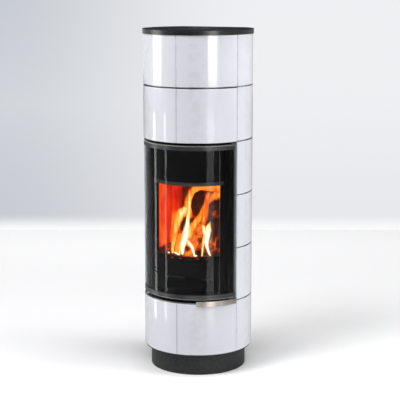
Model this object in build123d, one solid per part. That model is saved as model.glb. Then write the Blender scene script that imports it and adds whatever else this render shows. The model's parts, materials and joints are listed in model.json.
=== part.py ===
from build123d import *
import os
from math import cos, degrees, hypot, radians, sin

# A tall round tiled wood stove with a curved glass door, in millimetres.
# The origin is on the floor, on the vertical axis of the tiled cylinder.
# +Z is up and the front is at -Y. An angle in plan starts at the front and
# grows towards +X, so a piece at +45 degrees is on the front's right-hand side
# as seen by someone who stands in front of the stove.

# ---------------------------------------------------------------- tiles
tile_radius = 265.0  # glazed face, from the stove's axis
tile_arc = 66.9  # degrees of the cylinder that one tile covers
tile_height = 255.5
tile_joint = 2.0  # from one ring of tiles to the next
tile_side_gap = 1.4  # between neighbours in a ring
tile_wall = 13.0  # the glazed wall itself
tile_collar_depth = 32.0  # the back collar, measured from the glazed face
tile_collar_width = 16.0
tile_edge_round = 2.5
ring_total = 6  # rings of tiles, numbered from the top
door_first_ring = 3  # the door stands in for the front tiles of these rings
door_last_ring = 5
front_tile_drop = 3.0  # the front pair over the door sits this much lower

# ---------------------------------------------------------------- steel outside
plinth_recess = 31.5  # the plinth stands back from the glazed face by this
plinth_height = 102.0
plinth_sheet = 3.0
base_plate_thickness = 5.0
base_plate_recess = 3.0  # the tiles overhang the base plate by this
back_cut = 59.0  # the flat back lies this far inside the glazed circle
back_sheet = 2.0
vent_slot_length = 56.0
vent_slot_width = 7.0
vent_slot_pitch = 22.0
vent_slots_in_row = 9
vent_row_from_end = 120.0  # from the panel's top and bottom edges
lid_overhang = 3.0
lid_sheet = 3.0
lid_rim_height = 23.0
lid_rim_sheet = 2.0
lid_lift = 4.0  # air over the uppermost tiles
lid_slot_length = 92.0
lid_slot_width = 9.0
lid_slot_pitch = 18.0
lid_slot_from_edge = 32.0  # from the lid's edge in to the outermost slot
lid_slot_back = 22.0  # the slots' middle lies this far behind the axis

# ---------------------------------------------------------------- tile frame
upright_sheet = 4.0
upright_behind_tiles = 5.6  # from the collars in to the posts
upright_arc = 8.0
front_upright_angle = 70.5
rear_upright_angle = 133.6
seat_clearance = 0.3  # between curved faces that rest against each other
carrier_thickness = 2.0
carrier_recess = 6.0  # behind the glazed face
lintel_thickness = 5.0

# ---------------------------------------------------------------- fire body
plate = 4.0  # welded body plate
lining = 25.0  # fire-resistant lining boards
casing_inside_seat = 0.65  # the body's sides, inwards from the door seat's inner edge
frame_behind_seat = 18.2  # the front frame's face, back from the same edge
casing_inside_back = 41.0  # from the flat back forward to the fire body
casing_corner_length = 105.0  # how much of the sides the slanted corners take
casing_corner_width = 72.3  # how much of the back each slanted corner takes
fire_opening_below_lining = 30.0
ash_opening_inside_casing = 70.3
ash_opening_below_pan = 9.0
ash_opening_below_hearth = 16.0
body_floor_rise = 6.0  # above the door's lower edge
crown_drop = 5.0  # below the door's upper edge
seat_ring_behind_tiles = 1.3  # from the collars in to what the door's rope seal closes on
seat_ring_inner_angle = 55.5
seat_ring_outer_angle = 66.0

hearth_rise = 164.0  # from the body's floor up to the hearth
hearth_sheet = 4.0
brick_thickness = 24.0
side_brick_width = 70.7
front_brick_depth = 48.7
back_brick_depth = 45.1
grate_thickness = 18.0
grate_corner = 6.0
grate_end_bar = 16.0  # from the grate's edge to the slots' ends
grate_slot_width = 9.0
grate_slot_pitch = 17.0
grate_slot_count = 9
grate_rebate = 14.0  # the hearth plate's hole is this much smaller on each side
smoke_height = 122.0  # from the lining up to the crown plate
rib_count = 9
rib_width = 7.0
rib_depth = 4.0
lower_baffle_thickness = 22.0
lower_baffle_front = 50.0  # its front edge, forward of the axis
upper_baffle_rise = 48.0
upper_baffle_back = 84.0
upper_baffle_sheet = 4.0

guard_behind_seat = 6.7  # log guard and air deflector, from the seal's seat inwards
guard_centre_forward = 20.0
guard_sheet = 3.0
guard_height = 27.0
guard_slot_length = 17.0
guard_slot_height = 6.0
guard_slot_below_top = 9.0
guard_slot_step = 12.0  # degrees
guard_slot_count = 7
deflector_height = 186.0
deflector_hem = 10.0

# ---------------------------------------------------------------- flue and heat store
flue_back = 42.0  # the flue's axis lies this far behind the stove's
flue_bore_radius = 75.5
flue_collar_wall = 4.5
flue_collar_length = 59.0
flue_ledge_radius = 70.0
flue_ledge = 3.0
flue_pipe_outer_radius = 75.0
flue_pipe_sheet = 2.0
collar_clearance = 0.4
collar_sunk = 0.5  # below the lid's upper face
stone_inside_casing = 4.3  # the heat store is this much slimmer than the fire body
stone_bore_radius = 82.0
stone_layer_height = 180.0
stone_layers = 2
stone_split = 3.0
stone_shelf_rise = 60.0  # above the crown plate
stone_shelf_sheet = 4.0
shelf_leg_radius = 8.0
shelf_leg_from_edge = 26.0

# ---------------------------------------------------------------- combustion air
air_box_radius = 92.0
air_box_wall = 3.0
air_box_height = 72.0
air_rim_width = 5.0
air_port_inner_radius = 30.0
air_port_outer_radius = 74.0
air_port_arc = 30.0
air_port_count = 4
damper_thickness = 4.0
damper_clearance = 0.3
damper_above_tiles = 5.8  # the damper's underside over the lower tiles
damper_side_clearance = 0.5
stud_radius = 4.0
lever_rest_angle = -50.0
lever_travel = 35.0
lever_width = 14.0
lever_knob_radius = 6.0
lever_knob_height = 9.0
lever_end_inside = 9.0  # the knob's middle, inside the glazed face
inlet_radius = 40.0  # outside of the air socket on the back
inlet_length = 30.0
inlet_sheet = 2.0
inlet_pipe_outer_radius = 38.5
inlet_flange_radius = 54.0
inlet_flange = 2.0
inlet_hole_clearance = 0.5

# ---------------------------------------------------------------- ash pan
pan_inside_opening = 5.5
pan_short_of_back = 59.0  # from the body's back wall
pan_below_hearth = 22.0
pan_sheet = 1.5
pan_rise = 63.0  # from the body's floor
pan_proud = 3.0  # its face stands this far in front of the frame
pan_lip = 14.0
runner_sheet = 2.0
runner_side_clearance = 2.5
runner_shelf = 17.0
runner_lap = 21.0  # the guides reach this far up the pan's sides
runner_short_of_pan = 1.0

# ---------------------------------------------------------------- door
door_sill_gap = 19.5  # open gap under the door, over the lower tiles
door_head_gap = 8.0  # between the door and the lintel
door_recess = 1.0  # the rails lie this far inside the glazed face
door_half_arc = 63.6
rail_height = 22.0
rail_web = 4.0
rail_lip = 3.7
rail_inner_lip = 3.0
rail_inner_lip_height = 13.0
rail_groove_width = 2.0
rail_groove_depth = 1.3
rail_groove_from_edge = 5.0
glass_behind_rail = 4.0  # from the rails' face in to the pane's
glass_thickness = 4.0
glass_edge_clearance = 0.3
stile_arc = 5.1
seal_size = 8.0
seal_inset_arc = 1.6  # from the stile's outer side to the rope seal
seal_arc = 2.5
hinge_angle = -62.3
hinge_behind_rail = 13.0
hinge_pin_radius = 4.0
hinge_running_clearance = 0.05
hinge_boss_radius = 9.0
hinge_collar_radius = 7.0
hinge_collar_height = 6.0
hinge_washer_clearance = 0.3
upper_bracket_thickness = 5.0
lower_bracket_arm = 5.0

# ---------------------------------------------------------------- handle and latch
handle_standoff = 7.0  # finger room between the glazed face and the grip
handle_thickness = 4.0
handle_height = 25.0
handle_below_sill = 11.5  # the grip hangs this far below the lower tiles' top
handle_left_angle = 20.9
handle_right_angle = 64.7
handle_web_width = 14.0  # from the grip inwards
handle_web_left_angle = 28.0
handle_web_thickness = 4.0
handle_pivot_angle = 60.5
handle_pivot_inside = 22.0  # from the grip's inner face to the pivot
handle_boss_radius = 9.0
handle_boss_height = 8.0
handle_pin_head_radius = 6.5
handle_pin_head = 2.2
hook_reach = 29.0  # from the pivot inwards
hook_shank = 7.0
hook_notch = 4.0
hook_nose = 4.0
keeper_angle = 65.0
keeper_behind_pivot = 10.0
keeper_pin_radius = 3.0
keeper_base_radius = 6.0
keeper_base = 3.0
keeper_height = 13.0
keeper_clearance = 0.8

# ---------------------------------------------------------------- worked-out levels and places
back_flat = tile_radius - back_cut
collar_radius = tile_radius - tile_collar_depth
plinth_radius = tile_radius - plinth_recess
upright_outer_radius = collar_radius - upright_behind_tiles
tile_base = plinth_height + base_plate_thickness
ring_pitch = tile_height + tile_joint
tile_top = tile_base + ring_pitch * ring_total - tile_joint
lid_underside = tile_top + lid_lift
lid_top = lid_underside + lid_sheet
lid_radius = tile_radius + lid_overhang
lid_flat = back_flat + lid_overhang
sill_tile_top = tile_base + ring_pitch * (ring_total - door_last_ring) - tile_joint
sill_carrier_top = sill_tile_top + carrier_thickness
lintel_top = tile_base + ring_pitch * (ring_total - door_first_ring + 1) - front_tile_drop
lintel_bottom = lintel_top - lintel_thickness
door_bottom = sill_tile_top + door_sill_gap
door_top = lintel_bottom - door_head_gap
body_floor_bottom = door_bottom + body_floor_rise
body_floor_top = body_floor_bottom + plate
crown_top = door_top - crown_drop
crown_bottom = crown_top - plate
carrier_inner_radius = upright_outer_radius + seat_clearance
carrier_outer_radius = tile_radius - carrier_recess
seat_ring_radius = collar_radius - seat_ring_behind_tiles
casing_half_width = seat_ring_radius * sin(radians(seat_ring_inner_angle)) - casing_inside_seat
fire_half_width = casing_half_width - plate - seat_clearance - lining
fire_front = seat_ring_radius * cos(radians(seat_ring_inner_angle)) - frame_behind_seat
casing_front = fire_front - plate  # the walls start behind the front frame
casing_back = back_flat - casing_inside_back
casing_side_back = casing_back - casing_corner_length  # the sides run straight back to here
casing_back_half_width = casing_half_width - casing_corner_width
guard_radius = seat_ring_radius - guard_behind_seat - guard_centre_forward
stone_radius = casing_half_width - stone_inside_casing
hearth_top = body_floor_top + hearth_rise
lining_top = crown_bottom - smoke_height
fire_opening_top = lining_top - fire_opening_below_lining
guard_top = hearth_top + guard_height
deflector_lip = crown_bottom - deflector_height
grate_half_length = fire_half_width - side_brick_width
grate_front = casing_front - front_brick_depth - seat_clearance
grate_back = casing_back - plate - lining - 2 * seat_clearance - back_brick_depth
ash_opening_half_width = casing_half_width - ash_opening_inside_casing
pan_bottom = body_floor_top + pan_rise
pan_top = hearth_top - hearth_sheet - pan_below_hearth
pan_half_width = ash_opening_half_width - pan_inside_opening
pan_front = fire_front + pan_proud
pan_back = casing_back - pan_short_of_back
ash_opening_bottom = pan_bottom - ash_opening_below_pan
ash_opening_top = hearth_top - ash_opening_below_hearth
flue_collar_bottom = lid_top - collar_sunk - flue_collar_length
stone_shelf_bottom = crown_top + stone_shelf_rise
damper_bottom = sill_tile_top + damper_above_tiles
air_box_top = damper_bottom - damper_clearance
air_rim_top = damper_bottom + damper_thickness + 2 * damper_clearance
air_box_bottom = air_box_top - air_box_height
inlet_level = air_box_bottom + air_box_height / 2
seal_radius = seat_ring_radius + seat_clearance
door_radius = tile_radius - door_recess
glass_radius = door_radius - glass_behind_rail
hinge_radius = door_radius - hinge_behind_rail
handle_inner_radius = tile_radius + handle_standoff
handle_web_inner_radius = handle_inner_radius - handle_web_width
handle_pivot_radius = handle_inner_radius - handle_pivot_inside
keeper_radius = handle_pivot_radius - keeper_behind_pivot
lever_reach = tile_radius - lever_end_inside
rail_inner_radius = seal_radius + seal_size
seal_mid_angle = door_half_arc - seal_inset_arc - seal_arc / 2
handle_pin_bottom = sill_carrier_top + 0.8
handle_boss_bottom = handle_pin_bottom + handle_pin_head + seat_clearance
handle_bottom = sill_tile_top - handle_below_sill


def polar(radius, angle):
    """The plan point at a radius and an angle from the front."""
    return radius * sin(radians(angle)), -radius * cos(radians(angle))


def revolve_section(section, angle_from, angle_to):
    """A section drawn at radius X and height Z, carried round the stove's axis."""
    solid = revolve(section, axis=Axis.Z, revolution_arc=angle_to - angle_from)
    return Rot(0, 0, angle_from - 90) * solid


def curved_block(radius_in, radius_out, angle_from, angle_to, z_from, z_to):
    """A block bent round the stove's axis."""
    middle = Pos((radius_in + radius_out) / 2, (z_from + z_to) / 2)
    section = Plane.XZ * middle * Rectangle(radius_out - radius_in, z_to - z_from)
    return revolve_section(section, angle_from, angle_to)


def upright_cylinder(radius, place, z_from, z_to):
    """A cylinder that stands at a plan point."""
    x, y = place
    low = (Align.CENTER, Align.CENTER, Align.MIN)
    return Pos(x, y, z_from) * Cylinder(radius, z_to - z_from, align=low)


def slab(outline, z_from, z_to):
    """A plan outline raised between two levels."""
    return Pos(0, 0, z_from) * extrude(outline, z_to - z_from)


def block(x_from, x_to, y_from, y_to, z_from, z_to):
    """A straight block between two corners."""
    size = Box(x_to - x_from, y_to - y_from, z_to - z_from)
    return Pos((x_from + x_to) / 2, (y_from + y_to) / 2, (z_from + z_to) / 2) * size


def d_outline(radius, flat):
    """A plan circle that is cut flat at the back."""
    return Circle(radius) - Pos(0, flat + radius) * Rectangle(2 * radius, 2 * radius)


def polygon(points):
    """A closed plan face through the points."""
    return make_face(Polyline(*points, close=True))


def casing_points(inset):
    """Plan corners of the fire body, moved inwards by an inset, from the front left."""
    run = casing_back - casing_side_back
    fall = casing_half_width - casing_back_half_width
    slant_x = run / hypot(run, fall)
    slant_y = fall / hypot(run, fall)
    side = casing_half_width - inset
    side_end = casing_side_back - inset * (1 - slant_x) / slant_y
    back = casing_back - inset
    back_end = casing_back_half_width - inset * (1 - slant_y) / slant_x
    right = [(back_end, back), (side, side_end), (side, -casing_front)]
    left = [(-x, y) for x, y in reversed(right)]
    return left + right


def casing_board(index, inset_out, inset_in, z_from, z_to):
    """One of the five boards along the fire body's outline: 0 left, 2 back, 4 right."""
    outer = casing_points(inset_out)
    inner = casing_points(inset_in)
    corners = [outer[index], outer[index + 1], inner[index + 1], inner[index]]
    return slab(polygon(corners), z_from, z_to)


def seat_plate_outline():
    """The fire body's plan together with the bowed seat in front that the door closes on."""
    post_x, post_y = polar(upright_outer_radius, front_upright_angle - upright_arc / 2)
    back_edge = post_y - 1.2
    reach = 2 * seat_ring_radius
    bow = Circle(seat_ring_radius) & Pos(0, back_edge - reach / 2) * Rectangle(reach, reach)
    return polygon(casing_points(0)) + bow


# ---------------------------------------------------------------- tiles
def make_tile():
    """A tile with a rounded glazed face and a collar round its open back, at the front."""
    half = tile_arc / 2 - degrees(tile_side_gap / 2 / tile_radius)
    body = curved_block(collar_radius, tile_radius, -half, half, 0, tile_height)
    face = body.faces().filter_by(GeomType.CYLINDER).sort_by(lambda f: f.radius)[-1]
    body = fillet(face.edges(), tile_edge_round)
    pocket_half = half - degrees(tile_collar_width / collar_radius)
    pocket = curved_block(
        collar_radius - 1,
        tile_radius - tile_wall,
        -pocket_half,
        pocket_half,
        tile_collar_width,
        tile_height - tile_collar_width,
    )
    return body - pocket


def make_tiles():
    """Four tiles to a ring, and only the side pair beside the door."""
    tile = make_tile()
    places = {
        "side_left": -1.5 * tile_arc,
        "front_left": -0.5 * tile_arc,
        "front_right": 0.5 * tile_arc,
        "side_right": 1.5 * tile_arc,
    }
    tiles = {}
    for ring in range(1, ring_total + 1):
        beside_door = door_first_ring <= ring <= door_last_ring
        for place, angle in places.items():
            in_front = place.startswith("front")
            if beside_door and in_front:
                continue
            level = tile_base + ring_pitch * (ring_total - ring)
            if in_front and ring == door_first_ring - 1:
                level -= front_tile_drop
            tiles[f"tile_ring{ring}_{place}"] = Pos(0, 0, level) * Rot(0, 0, angle) * tile
    return tiles


def make_tile_carriers():
    """The thin shelves that each upper ring of tiles stands on, one length to a tile."""
    lengths = []
    for ring in range(1, ring_total):
        bottom = tile_base + ring_pitch * (ring_total - ring) - carrier_thickness
        for quarter in (-2, -1, 0, 1):
            in_front = quarter in (-1, 0)
            over_door = ring == door_first_ring - 1
            beside_door = door_first_ring <= ring < door_last_ring
            if in_front and (over_door or beside_door):
                continue
            start = quarter * tile_arc
            lengths.append(
                curved_block(
                    carrier_inner_radius,
                    carrier_outer_radius,
                    start,
                    start + tile_arc,
                    bottom,
                    bottom + carrier_thickness,
                )
            )
    return Compound(lengths)


def make_uprights():
    """Four rolled posts between the base plate and the lid."""
    posts = []
    for middle in (-rear_upright_angle, -front_upright_angle, front_upright_angle, rear_upright_angle):
        posts.append(
            curved_block(
                upright_outer_radius - upright_sheet,
                upright_outer_radius,
                middle - upright_arc / 2,
                middle + upright_arc / 2,
                tile_base,
                lid_underside,
            )
        )
    return Compound(posts)


def make_lintel():
    """The shelf over the door that carries the front tiles above it."""
    return curved_block(
        carrier_inner_radius,
        carrier_outer_radius,
        -tile_arc,
        tile_arc,
        lintel_bottom,
        lintel_top,
    )


# ---------------------------------------------------------------- outer steel
def make_plinth():
    """The recessed foot: a bottom plate and a bent wall."""
    flat = back_flat - (tile_radius - plinth_radius)
    outline = d_outline(plinth_radius, flat)
    inside = d_outline(plinth_radius - plinth_sheet, flat - plinth_sheet)
    floor = slab(outline, 0, plinth_sheet)
    wall = slab(outline - inside, plinth_sheet, plinth_height)
    return floor, wall


def make_base_plate():
    """The plate that the lowest tiles and the posts stand on."""
    outline = d_outline(tile_radius - base_plate_recess, back_flat)
    return slab(outline, plinth_height, tile_base)


def make_back_panel():
    """The flat back with its two rolled wings, air slots and the air socket's hole."""
    outer = d_outline(tile_radius, back_flat)
    inner = d_outline(tile_radius - back_sheet, back_flat - back_sheet)
    edge_angle = 2 * tile_arc + degrees(tile_side_gap / tile_radius)
    reach = 2 * tile_radius
    left_x, left_y = polar(reach, -edge_angle)
    right_x, right_y = polar(reach, edge_angle)
    wedge = polygon([(0, 0), (right_x, right_y), (right_x, reach), (left_x, reach), (left_x, left_y)])
    panel = slab((outer - inner) & wedge, tile_base, lid_underside)
    slot = Rot(0, 0, 90) * SlotOverall(vent_slot_length, vent_slot_width)
    cutter = Rot(90, 0, 0) * extrude(slot, 2 * back_sheet, both=True)
    for level in (tile_base + vent_row_from_end, lid_underside - vent_row_from_end):
        for number in range(vent_slots_in_row):
            x = (number - (vent_slots_in_row - 1) / 2) * vent_slot_pitch
            panel -= Pos(x, back_flat, level) * cutter
    hole = Cylinder(inlet_pipe_outer_radius + inlet_hole_clearance, 4 * back_sheet)
    return panel - Pos(0, back_flat, inlet_level) * Rot(90, 0, 0) * hole


def make_lid():
    """The top plate with a folded rim over the uppermost tiles, air slots and flue hole."""
    outline = d_outline(lid_radius, lid_flat)
    inside = d_outline(lid_radius - lid_rim_sheet, lid_flat - lid_rim_sheet)
    lid = slab(outline, lid_underside, lid_top)
    lid += slab(outline - inside, lid_top - lid_rim_height, lid_underside)
    rim = lid.edges().filter_by(GeomType.CIRCLE).group_by(Axis.Z)[-1]
    lid = fillet(rim, 1.2)
    hole_radius = flue_bore_radius + flue_collar_wall + collar_clearance
    lid -= upright_cylinder(hole_radius, (0, flue_back), lid_underside - 1, lid_top + 1)
    slot = Rot(0, 0, 90) * SlotOverall(lid_slot_length, lid_slot_width)
    for side in (-1, 1):
        for number in range(3):
            x = side * (lid_radius - lid_slot_from_edge - number * lid_slot_pitch)
            cutter = slab(Pos(x, lid_slot_back) * slot, lid_underside - 1, lid_top + 1)
            lid -= cutter
    return lid


# ---------------------------------------------------------------- fire body
def make_casing_walls():
    """Five welded plates: two sides, two slanted corners and the back."""
    return Compound([casing_board(i, 0, plate, body_floor_top, crown_bottom) for i in range(5)])


def make_body_floor():
    """The floor of the fire body, with the door's lower seat and the air collar under it."""
    floor = slab(seat_plate_outline(), body_floor_bottom, body_floor_top)
    collar = curved_block(
        air_box_radius - air_rim_width, air_box_radius, 0, 360, air_rim_top, body_floor_bottom
    )
    port = upright_cylinder(air_port_outer_radius, (0, 0), body_floor_bottom - 1, body_floor_top + 1)
    return floor + collar - port


def make_crown():
    """The roof of the fire body, with the door's upper seat and the flue hole."""
    crown = slab(seat_plate_outline(), crown_bottom, crown_top)
    bore = flue_pipe_outer_radius - flue_pipe_sheet
    return crown - upright_cylinder(bore, (0, flue_back), crown_bottom - 1, crown_top + 1)


def make_front_frame():
    """The flat front of the fire body, with the fire opening over the ash opening."""
    frame = block(
        -casing_half_width, casing_half_width, -fire_front, -casing_front, body_floor_top, crown_bottom
    )
    fire = block(
        -fire_half_width,
        fire_half_width,
        -fire_front - 1,
        -casing_front + 1,
        hearth_top - hearth_sheet,
        fire_opening_top,
    )
    ash = block(
        -ash_opening_half_width,
        ash_opening_half_width,
        -fire_front - 1,
        -casing_front + 1,
        ash_opening_bottom,
        ash_opening_top,
    )
    return frame - fire - ash


def make_jambs():
    """The upright door seats: rolled strips, each with a return to the front frame."""
    strip = curved_block(
        seat_ring_radius - plate,
        seat_ring_radius,
        seat_ring_inner_angle,
        seat_ring_outer_angle,
        body_floor_top,
        crown_bottom,
    )
    edge_x, edge_y = polar(seat_ring_radius - plate / 2, seat_ring_inner_angle)
    web = block(edge_x + 1 - plate, edge_x + 1, edge_y + 1, -fire_front, body_floor_top, crown_bottom)
    right = strip + web
    return Compound([right, right.mirror(Plane.YZ)])


def guard_ring(radius_out, sheet, z_from, z_to):
    """A wall along the bowed line in front of the fire, up to the front frame."""
    ring = Circle(radius_out) - Circle(radius_out - sheet)
    ring = Pos(0, -guard_centre_forward) * ring
    in_front = Pos(0, -fire_front - radius_out) * Rectangle(4 * radius_out, 2 * radius_out)
    return slab(ring & in_front, z_from, z_to)


def make_log_guard():
    """The bowed bar that keeps logs off the glass, with its row of air slots."""
    bar = guard_ring(guard_radius, guard_sheet, hearth_top, guard_top)
    slot = Rot(90, 0, 0) * extrude(
        SlotOverall(guard_slot_length, guard_slot_height), guard_radius
    )
    level = guard_top - guard_slot_below_top
    for number in range(guard_slot_count):
        angle = (number - (guard_slot_count - 1) / 2) * guard_slot_step
        bar -= Pos(0, -guard_centre_forward, level) * Rot(0, 0, angle) * slot
    return bar


def make_air_deflector():
    """The bowed sheet over the fire that turns air down the glass, with a hemmed lip."""
    sheet = guard_ring(guard_radius, guard_sheet, deflector_lip, crown_bottom)
    hem = guard_ring(guard_radius + guard_sheet, guard_sheet, deflector_lip, deflector_lip + deflector_hem)
    return sheet + hem


def make_hearth_plate():
    """The plate under the bricks, bowed in front to carry the log guard."""
    inside = polygon(casing_points(plate + seat_clearance))
    bow = Pos(0, -guard_centre_forward) * Circle(guard_radius)
    in_front = Pos(0, -fire_front - guard_radius) * Rectangle(2 * fire_half_width, 2 * guard_radius)
    joint = Pos(0, -(fire_front + casing_front) / 2) * Rectangle(
        2 * fire_half_width, fire_front - casing_front
    )
    outline = inside + (bow & in_front) + joint
    sheet = slab(outline, hearth_top - hearth_sheet, hearth_top)
    hole = block(
        -grate_half_length + grate_rebate,
        grate_half_length - grate_rebate,
        -grate_front + grate_rebate,
        grate_back - grate_rebate,
        hearth_top - hearth_sheet - 1,
        hearth_top + 1,
    )
    return sheet - hole


def make_hearth_bricks():
    """Four floor bricks round the grate: left, right, front and back."""
    inset = plate + seat_clearance + lining + seat_clearance
    outline = polygon(casing_points(inset))
    reach = 2 * casing_half_width
    half_x = grate_half_length + seat_clearance
    front = -grate_front - seat_clearance
    back = grate_back + seat_clearance
    cuts = [
        (-reach, -half_x, -reach, reach),
        (half_x, reach, -reach, reach),
        (-half_x, half_x, -reach, front),
        (-half_x, half_x, back, reach),
    ]
    floor = slab(outline, hearth_top, hearth_top + brick_thickness)
    bricks = [
        floor & block(x_from, x_to, y_from, y_to, hearth_top, hearth_top + brick_thickness)
        for x_from, x_to, y_from, y_to in cuts
    ]
    return Compound([solid for brick in bricks for solid in brick.solids()])


def make_grate():
    """The cast grate, a slotted plate with rounded corners."""
    depth = grate_front + grate_back
    outline = RectangleRounded(2 * grate_half_length, depth, grate_corner)
    slot = Rot(0, 0, 90) * SlotOverall(depth - 2 * grate_end_bar, grate_slot_width)
    for number in range(grate_slot_count):
        outline -= Pos((number - (grate_slot_count - 1) / 2) * grate_slot_pitch, 0) * slot
    grate = slab(outline, hearth_top, hearth_top + grate_thickness)
    return Pos(0, (grate_back - grate_front) / 2, 0) * grate


def make_lining_sides():
    """The side board and the slanted board of either side."""
    outer = plate + seat_clearance
    return Compound([casing_board(i, outer, outer + lining, hearth_top, lining_top) for i in (0, 1, 3, 4)])


def make_lining_back():
    """The back board, with upright grooves facing the fire."""
    outer = plate + seat_clearance
    board = casing_board(2, outer, outer + lining, hearth_top, lining_top)
    face = casing_back - outer - lining
    width = 2 * casing_points(outer + lining)[3][0]
    pitch = width / (rib_count + 1)
    for number in range(rib_count):
        x = (number - (rib_count - 1) / 2) * pitch
        board -= block(
            x - rib_width / 2,
            x + rib_width / 2,
            face - 1,
            face + rib_depth,
            hearth_top + brick_thickness,
            lining_top + 1,
        )
    return board


def make_lower_baffle():
    """The board that lies on the lining and turns the smoke to the front."""
    outline = polygon(casing_points(plate + seat_clearance))
    keep = Pos(0, casing_back - lower_baffle_front) * Rectangle(2 * casing_half_width, 2 * casing_back)
    return slab(outline & keep, lining_top, lining_top + lower_baffle_thickness)


def make_upper_baffle():
    """The folded plate over it that turns the smoke to the back."""
    bottom = lining_top + lower_baffle_thickness
    top = bottom + upper_baffle_rise
    half = casing_half_width - plate - 2
    front = -lower_baffle_front + 1
    roof = block(-half, half, -casing_front, upper_baffle_back, top - upper_baffle_sheet, top)
    side_end = min(casing_side_back, upper_baffle_back) - 2
    left = block(-half, -half + upper_baffle_sheet, front, side_end, bottom, top)
    right = block(half - upper_baffle_sheet, half, front, side_end, bottom, top)
    allowed = slab(polygon(casing_points(plate + seat_clearance)), bottom, top)
    return (roof + left + right) & allowed


# ---------------------------------------------------------------- flue and heat store
def make_flue_collar():
    """The cast socket in the lid that the chimney's pipe slides into, with a stop ledge."""
    outer = flue_bore_radius + flue_collar_wall
    top = lid_top - collar_sunk
    place = (0, flue_back)
    collar = upright_cylinder(outer, place, flue_collar_bottom, top)
    collar -= upright_cylinder(flue_bore_radius, place, flue_collar_bottom + flue_ledge, top + 1)
    return collar - upright_cylinder(flue_ledge_radius, place, flue_collar_bottom - 1, top)


def make_flue_pipe():
    """The pipe from the crown plate to the collar."""
    place = (0, flue_back)
    pipe = upright_cylinder(flue_pipe_outer_radius, place, crown_top, flue_collar_bottom)
    bore = flue_pipe_outer_radius - flue_pipe_sheet
    return pipe - upright_cylinder(bore, place, crown_top - 1, flue_collar_bottom + 1)


def make_stone_shelf():
    """The plate on four legs that carries the heat store."""
    top = stone_shelf_bottom + stone_shelf_sheet
    outline = Circle(stone_radius) - Pos(0, flue_back) * Circle(stone_bore_radius)
    shelf = slab(outline, stone_shelf_bottom, top)
    leg_circle = stone_radius - shelf_leg_from_edge
    for x, y in ((-1, -0.45), (1, -0.45), (-0.85, 0.55), (0.85, 0.55)):
        place = (x * leg_circle, y * leg_circle)
        shelf += upright_cylinder(shelf_leg_radius, place, crown_top, stone_shelf_bottom)
    return shelf


def make_storage_stones():
    """Half rings of heat-storing stone, two to a layer, round the flue pipe."""
    ring = Circle(stone_radius) - Pos(0, flue_back) * Circle(stone_bore_radius)
    stones = []
    bottom = stone_shelf_bottom + stone_shelf_sheet
    for layer in range(stone_layers):
        level = bottom + layer * stone_layer_height
        for side in (-1, 1):
            centre = side * (stone_radius + stone_split / 2)
            half = ring & Pos(centre, 0) * Rectangle(2 * stone_radius, 2 * stone_radius)
            stones += slab(half, level, level + stone_layer_height).solids()
    return Compound(stones)


# ---------------------------------------------------------------- combustion air
def air_ports(z_from, z_to):
    """The ring of sector ports that the damper covers and opens."""
    ports = []
    for number in range(air_port_count):
        start = number * 360 / air_port_count - air_port_arc / 2
        ports.append(
            curved_block(
                air_port_inner_radius,
                air_port_outer_radius,
                start,
                start + air_port_arc,
                z_from,
                z_to,
            )
        )
    return Compound(ports)


def make_air_box():
    """The round box under the floor, with ports on top, a stud and a rim cut for the lever."""
    centre = (0, 0)
    box = upright_cylinder(air_box_radius, centre, air_box_bottom, air_box_top)
    box -= upright_cylinder(
        air_box_radius - air_box_wall, centre, air_box_bottom + air_box_wall, air_box_top - air_box_wall
    )
    spare = 6.0
    rim = curved_block(
        air_box_radius - air_rim_width,
        air_box_radius,
        lever_rest_angle + lever_travel + spare,
        lever_rest_angle - spare + 360,
        air_box_top,
        air_rim_top,
    )
    stud = upright_cylinder(stud_radius, centre, air_box_top - 1, air_rim_top)
    inlet = Pos(0, air_box_radius, inlet_level) * Rot(90, 0, 0) * Cylinder(
        inlet_pipe_outer_radius - inlet_sheet, air_box_radius
    )
    return box + rim - air_ports(air_box_top - air_box_wall - 1, air_box_top + 1) + stud - inlet


def make_air_damper():
    """The ported disc with its lever and knob, which turns on the air box's stud."""
    top = damper_bottom + damper_thickness
    disc = upright_cylinder(
        air_box_radius - air_rim_width - damper_side_clearance, (0, 0), damper_bottom, top
    )
    bar = block(
        -lever_width / 2, lever_width / 2, -lever_reach, -air_port_outer_radius, damper_bottom, top
    )
    tip = upright_cylinder(lever_width / 2, (0, -lever_reach), damper_bottom, top)
    middle = damper_bottom + damper_thickness / 2
    knob = upright_cylinder(
        lever_knob_radius, (0, -lever_reach), middle - lever_knob_height / 2, middle + lever_knob_height / 2
    )
    lever = Rot(0, 0, lever_rest_angle) * (bar + tip + knob)
    damper = disc + lever - air_ports(damper_bottom - 1, top + 1)
    hole_radius = stud_radius + hinge_running_clearance
    return damper - upright_cylinder(hole_radius, (0, 0), damper_bottom - 1, top + 1)


def make_air_inlet():
    """The air pipe from the back panel, with its flange and the socket for the house's duct."""
    def along_back(radius, y_from, y_to):
        tube = Cylinder(radius, y_to - y_from)
        return Pos(0, (y_from + y_to) / 2, inlet_level) * Rot(90, 0, 0) * tube

    end = back_flat + inlet_flange + inlet_length
    pipe = along_back(inlet_pipe_outer_radius, air_box_radius / 2, back_flat + inlet_flange)
    pipe += along_back(inlet_flange_radius, back_flat, back_flat + inlet_flange)
    pipe += along_back(inlet_radius, back_flat + inlet_flange, end)
    pipe -= along_back(inlet_pipe_outer_radius - inlet_sheet, air_box_radius / 2 - 1, end + 1)
    keep_out = upright_cylinder(
        air_box_radius + seat_clearance, (0, 0), air_box_bottom - 1, air_rim_top + 1
    )
    return pipe - keep_out


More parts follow.
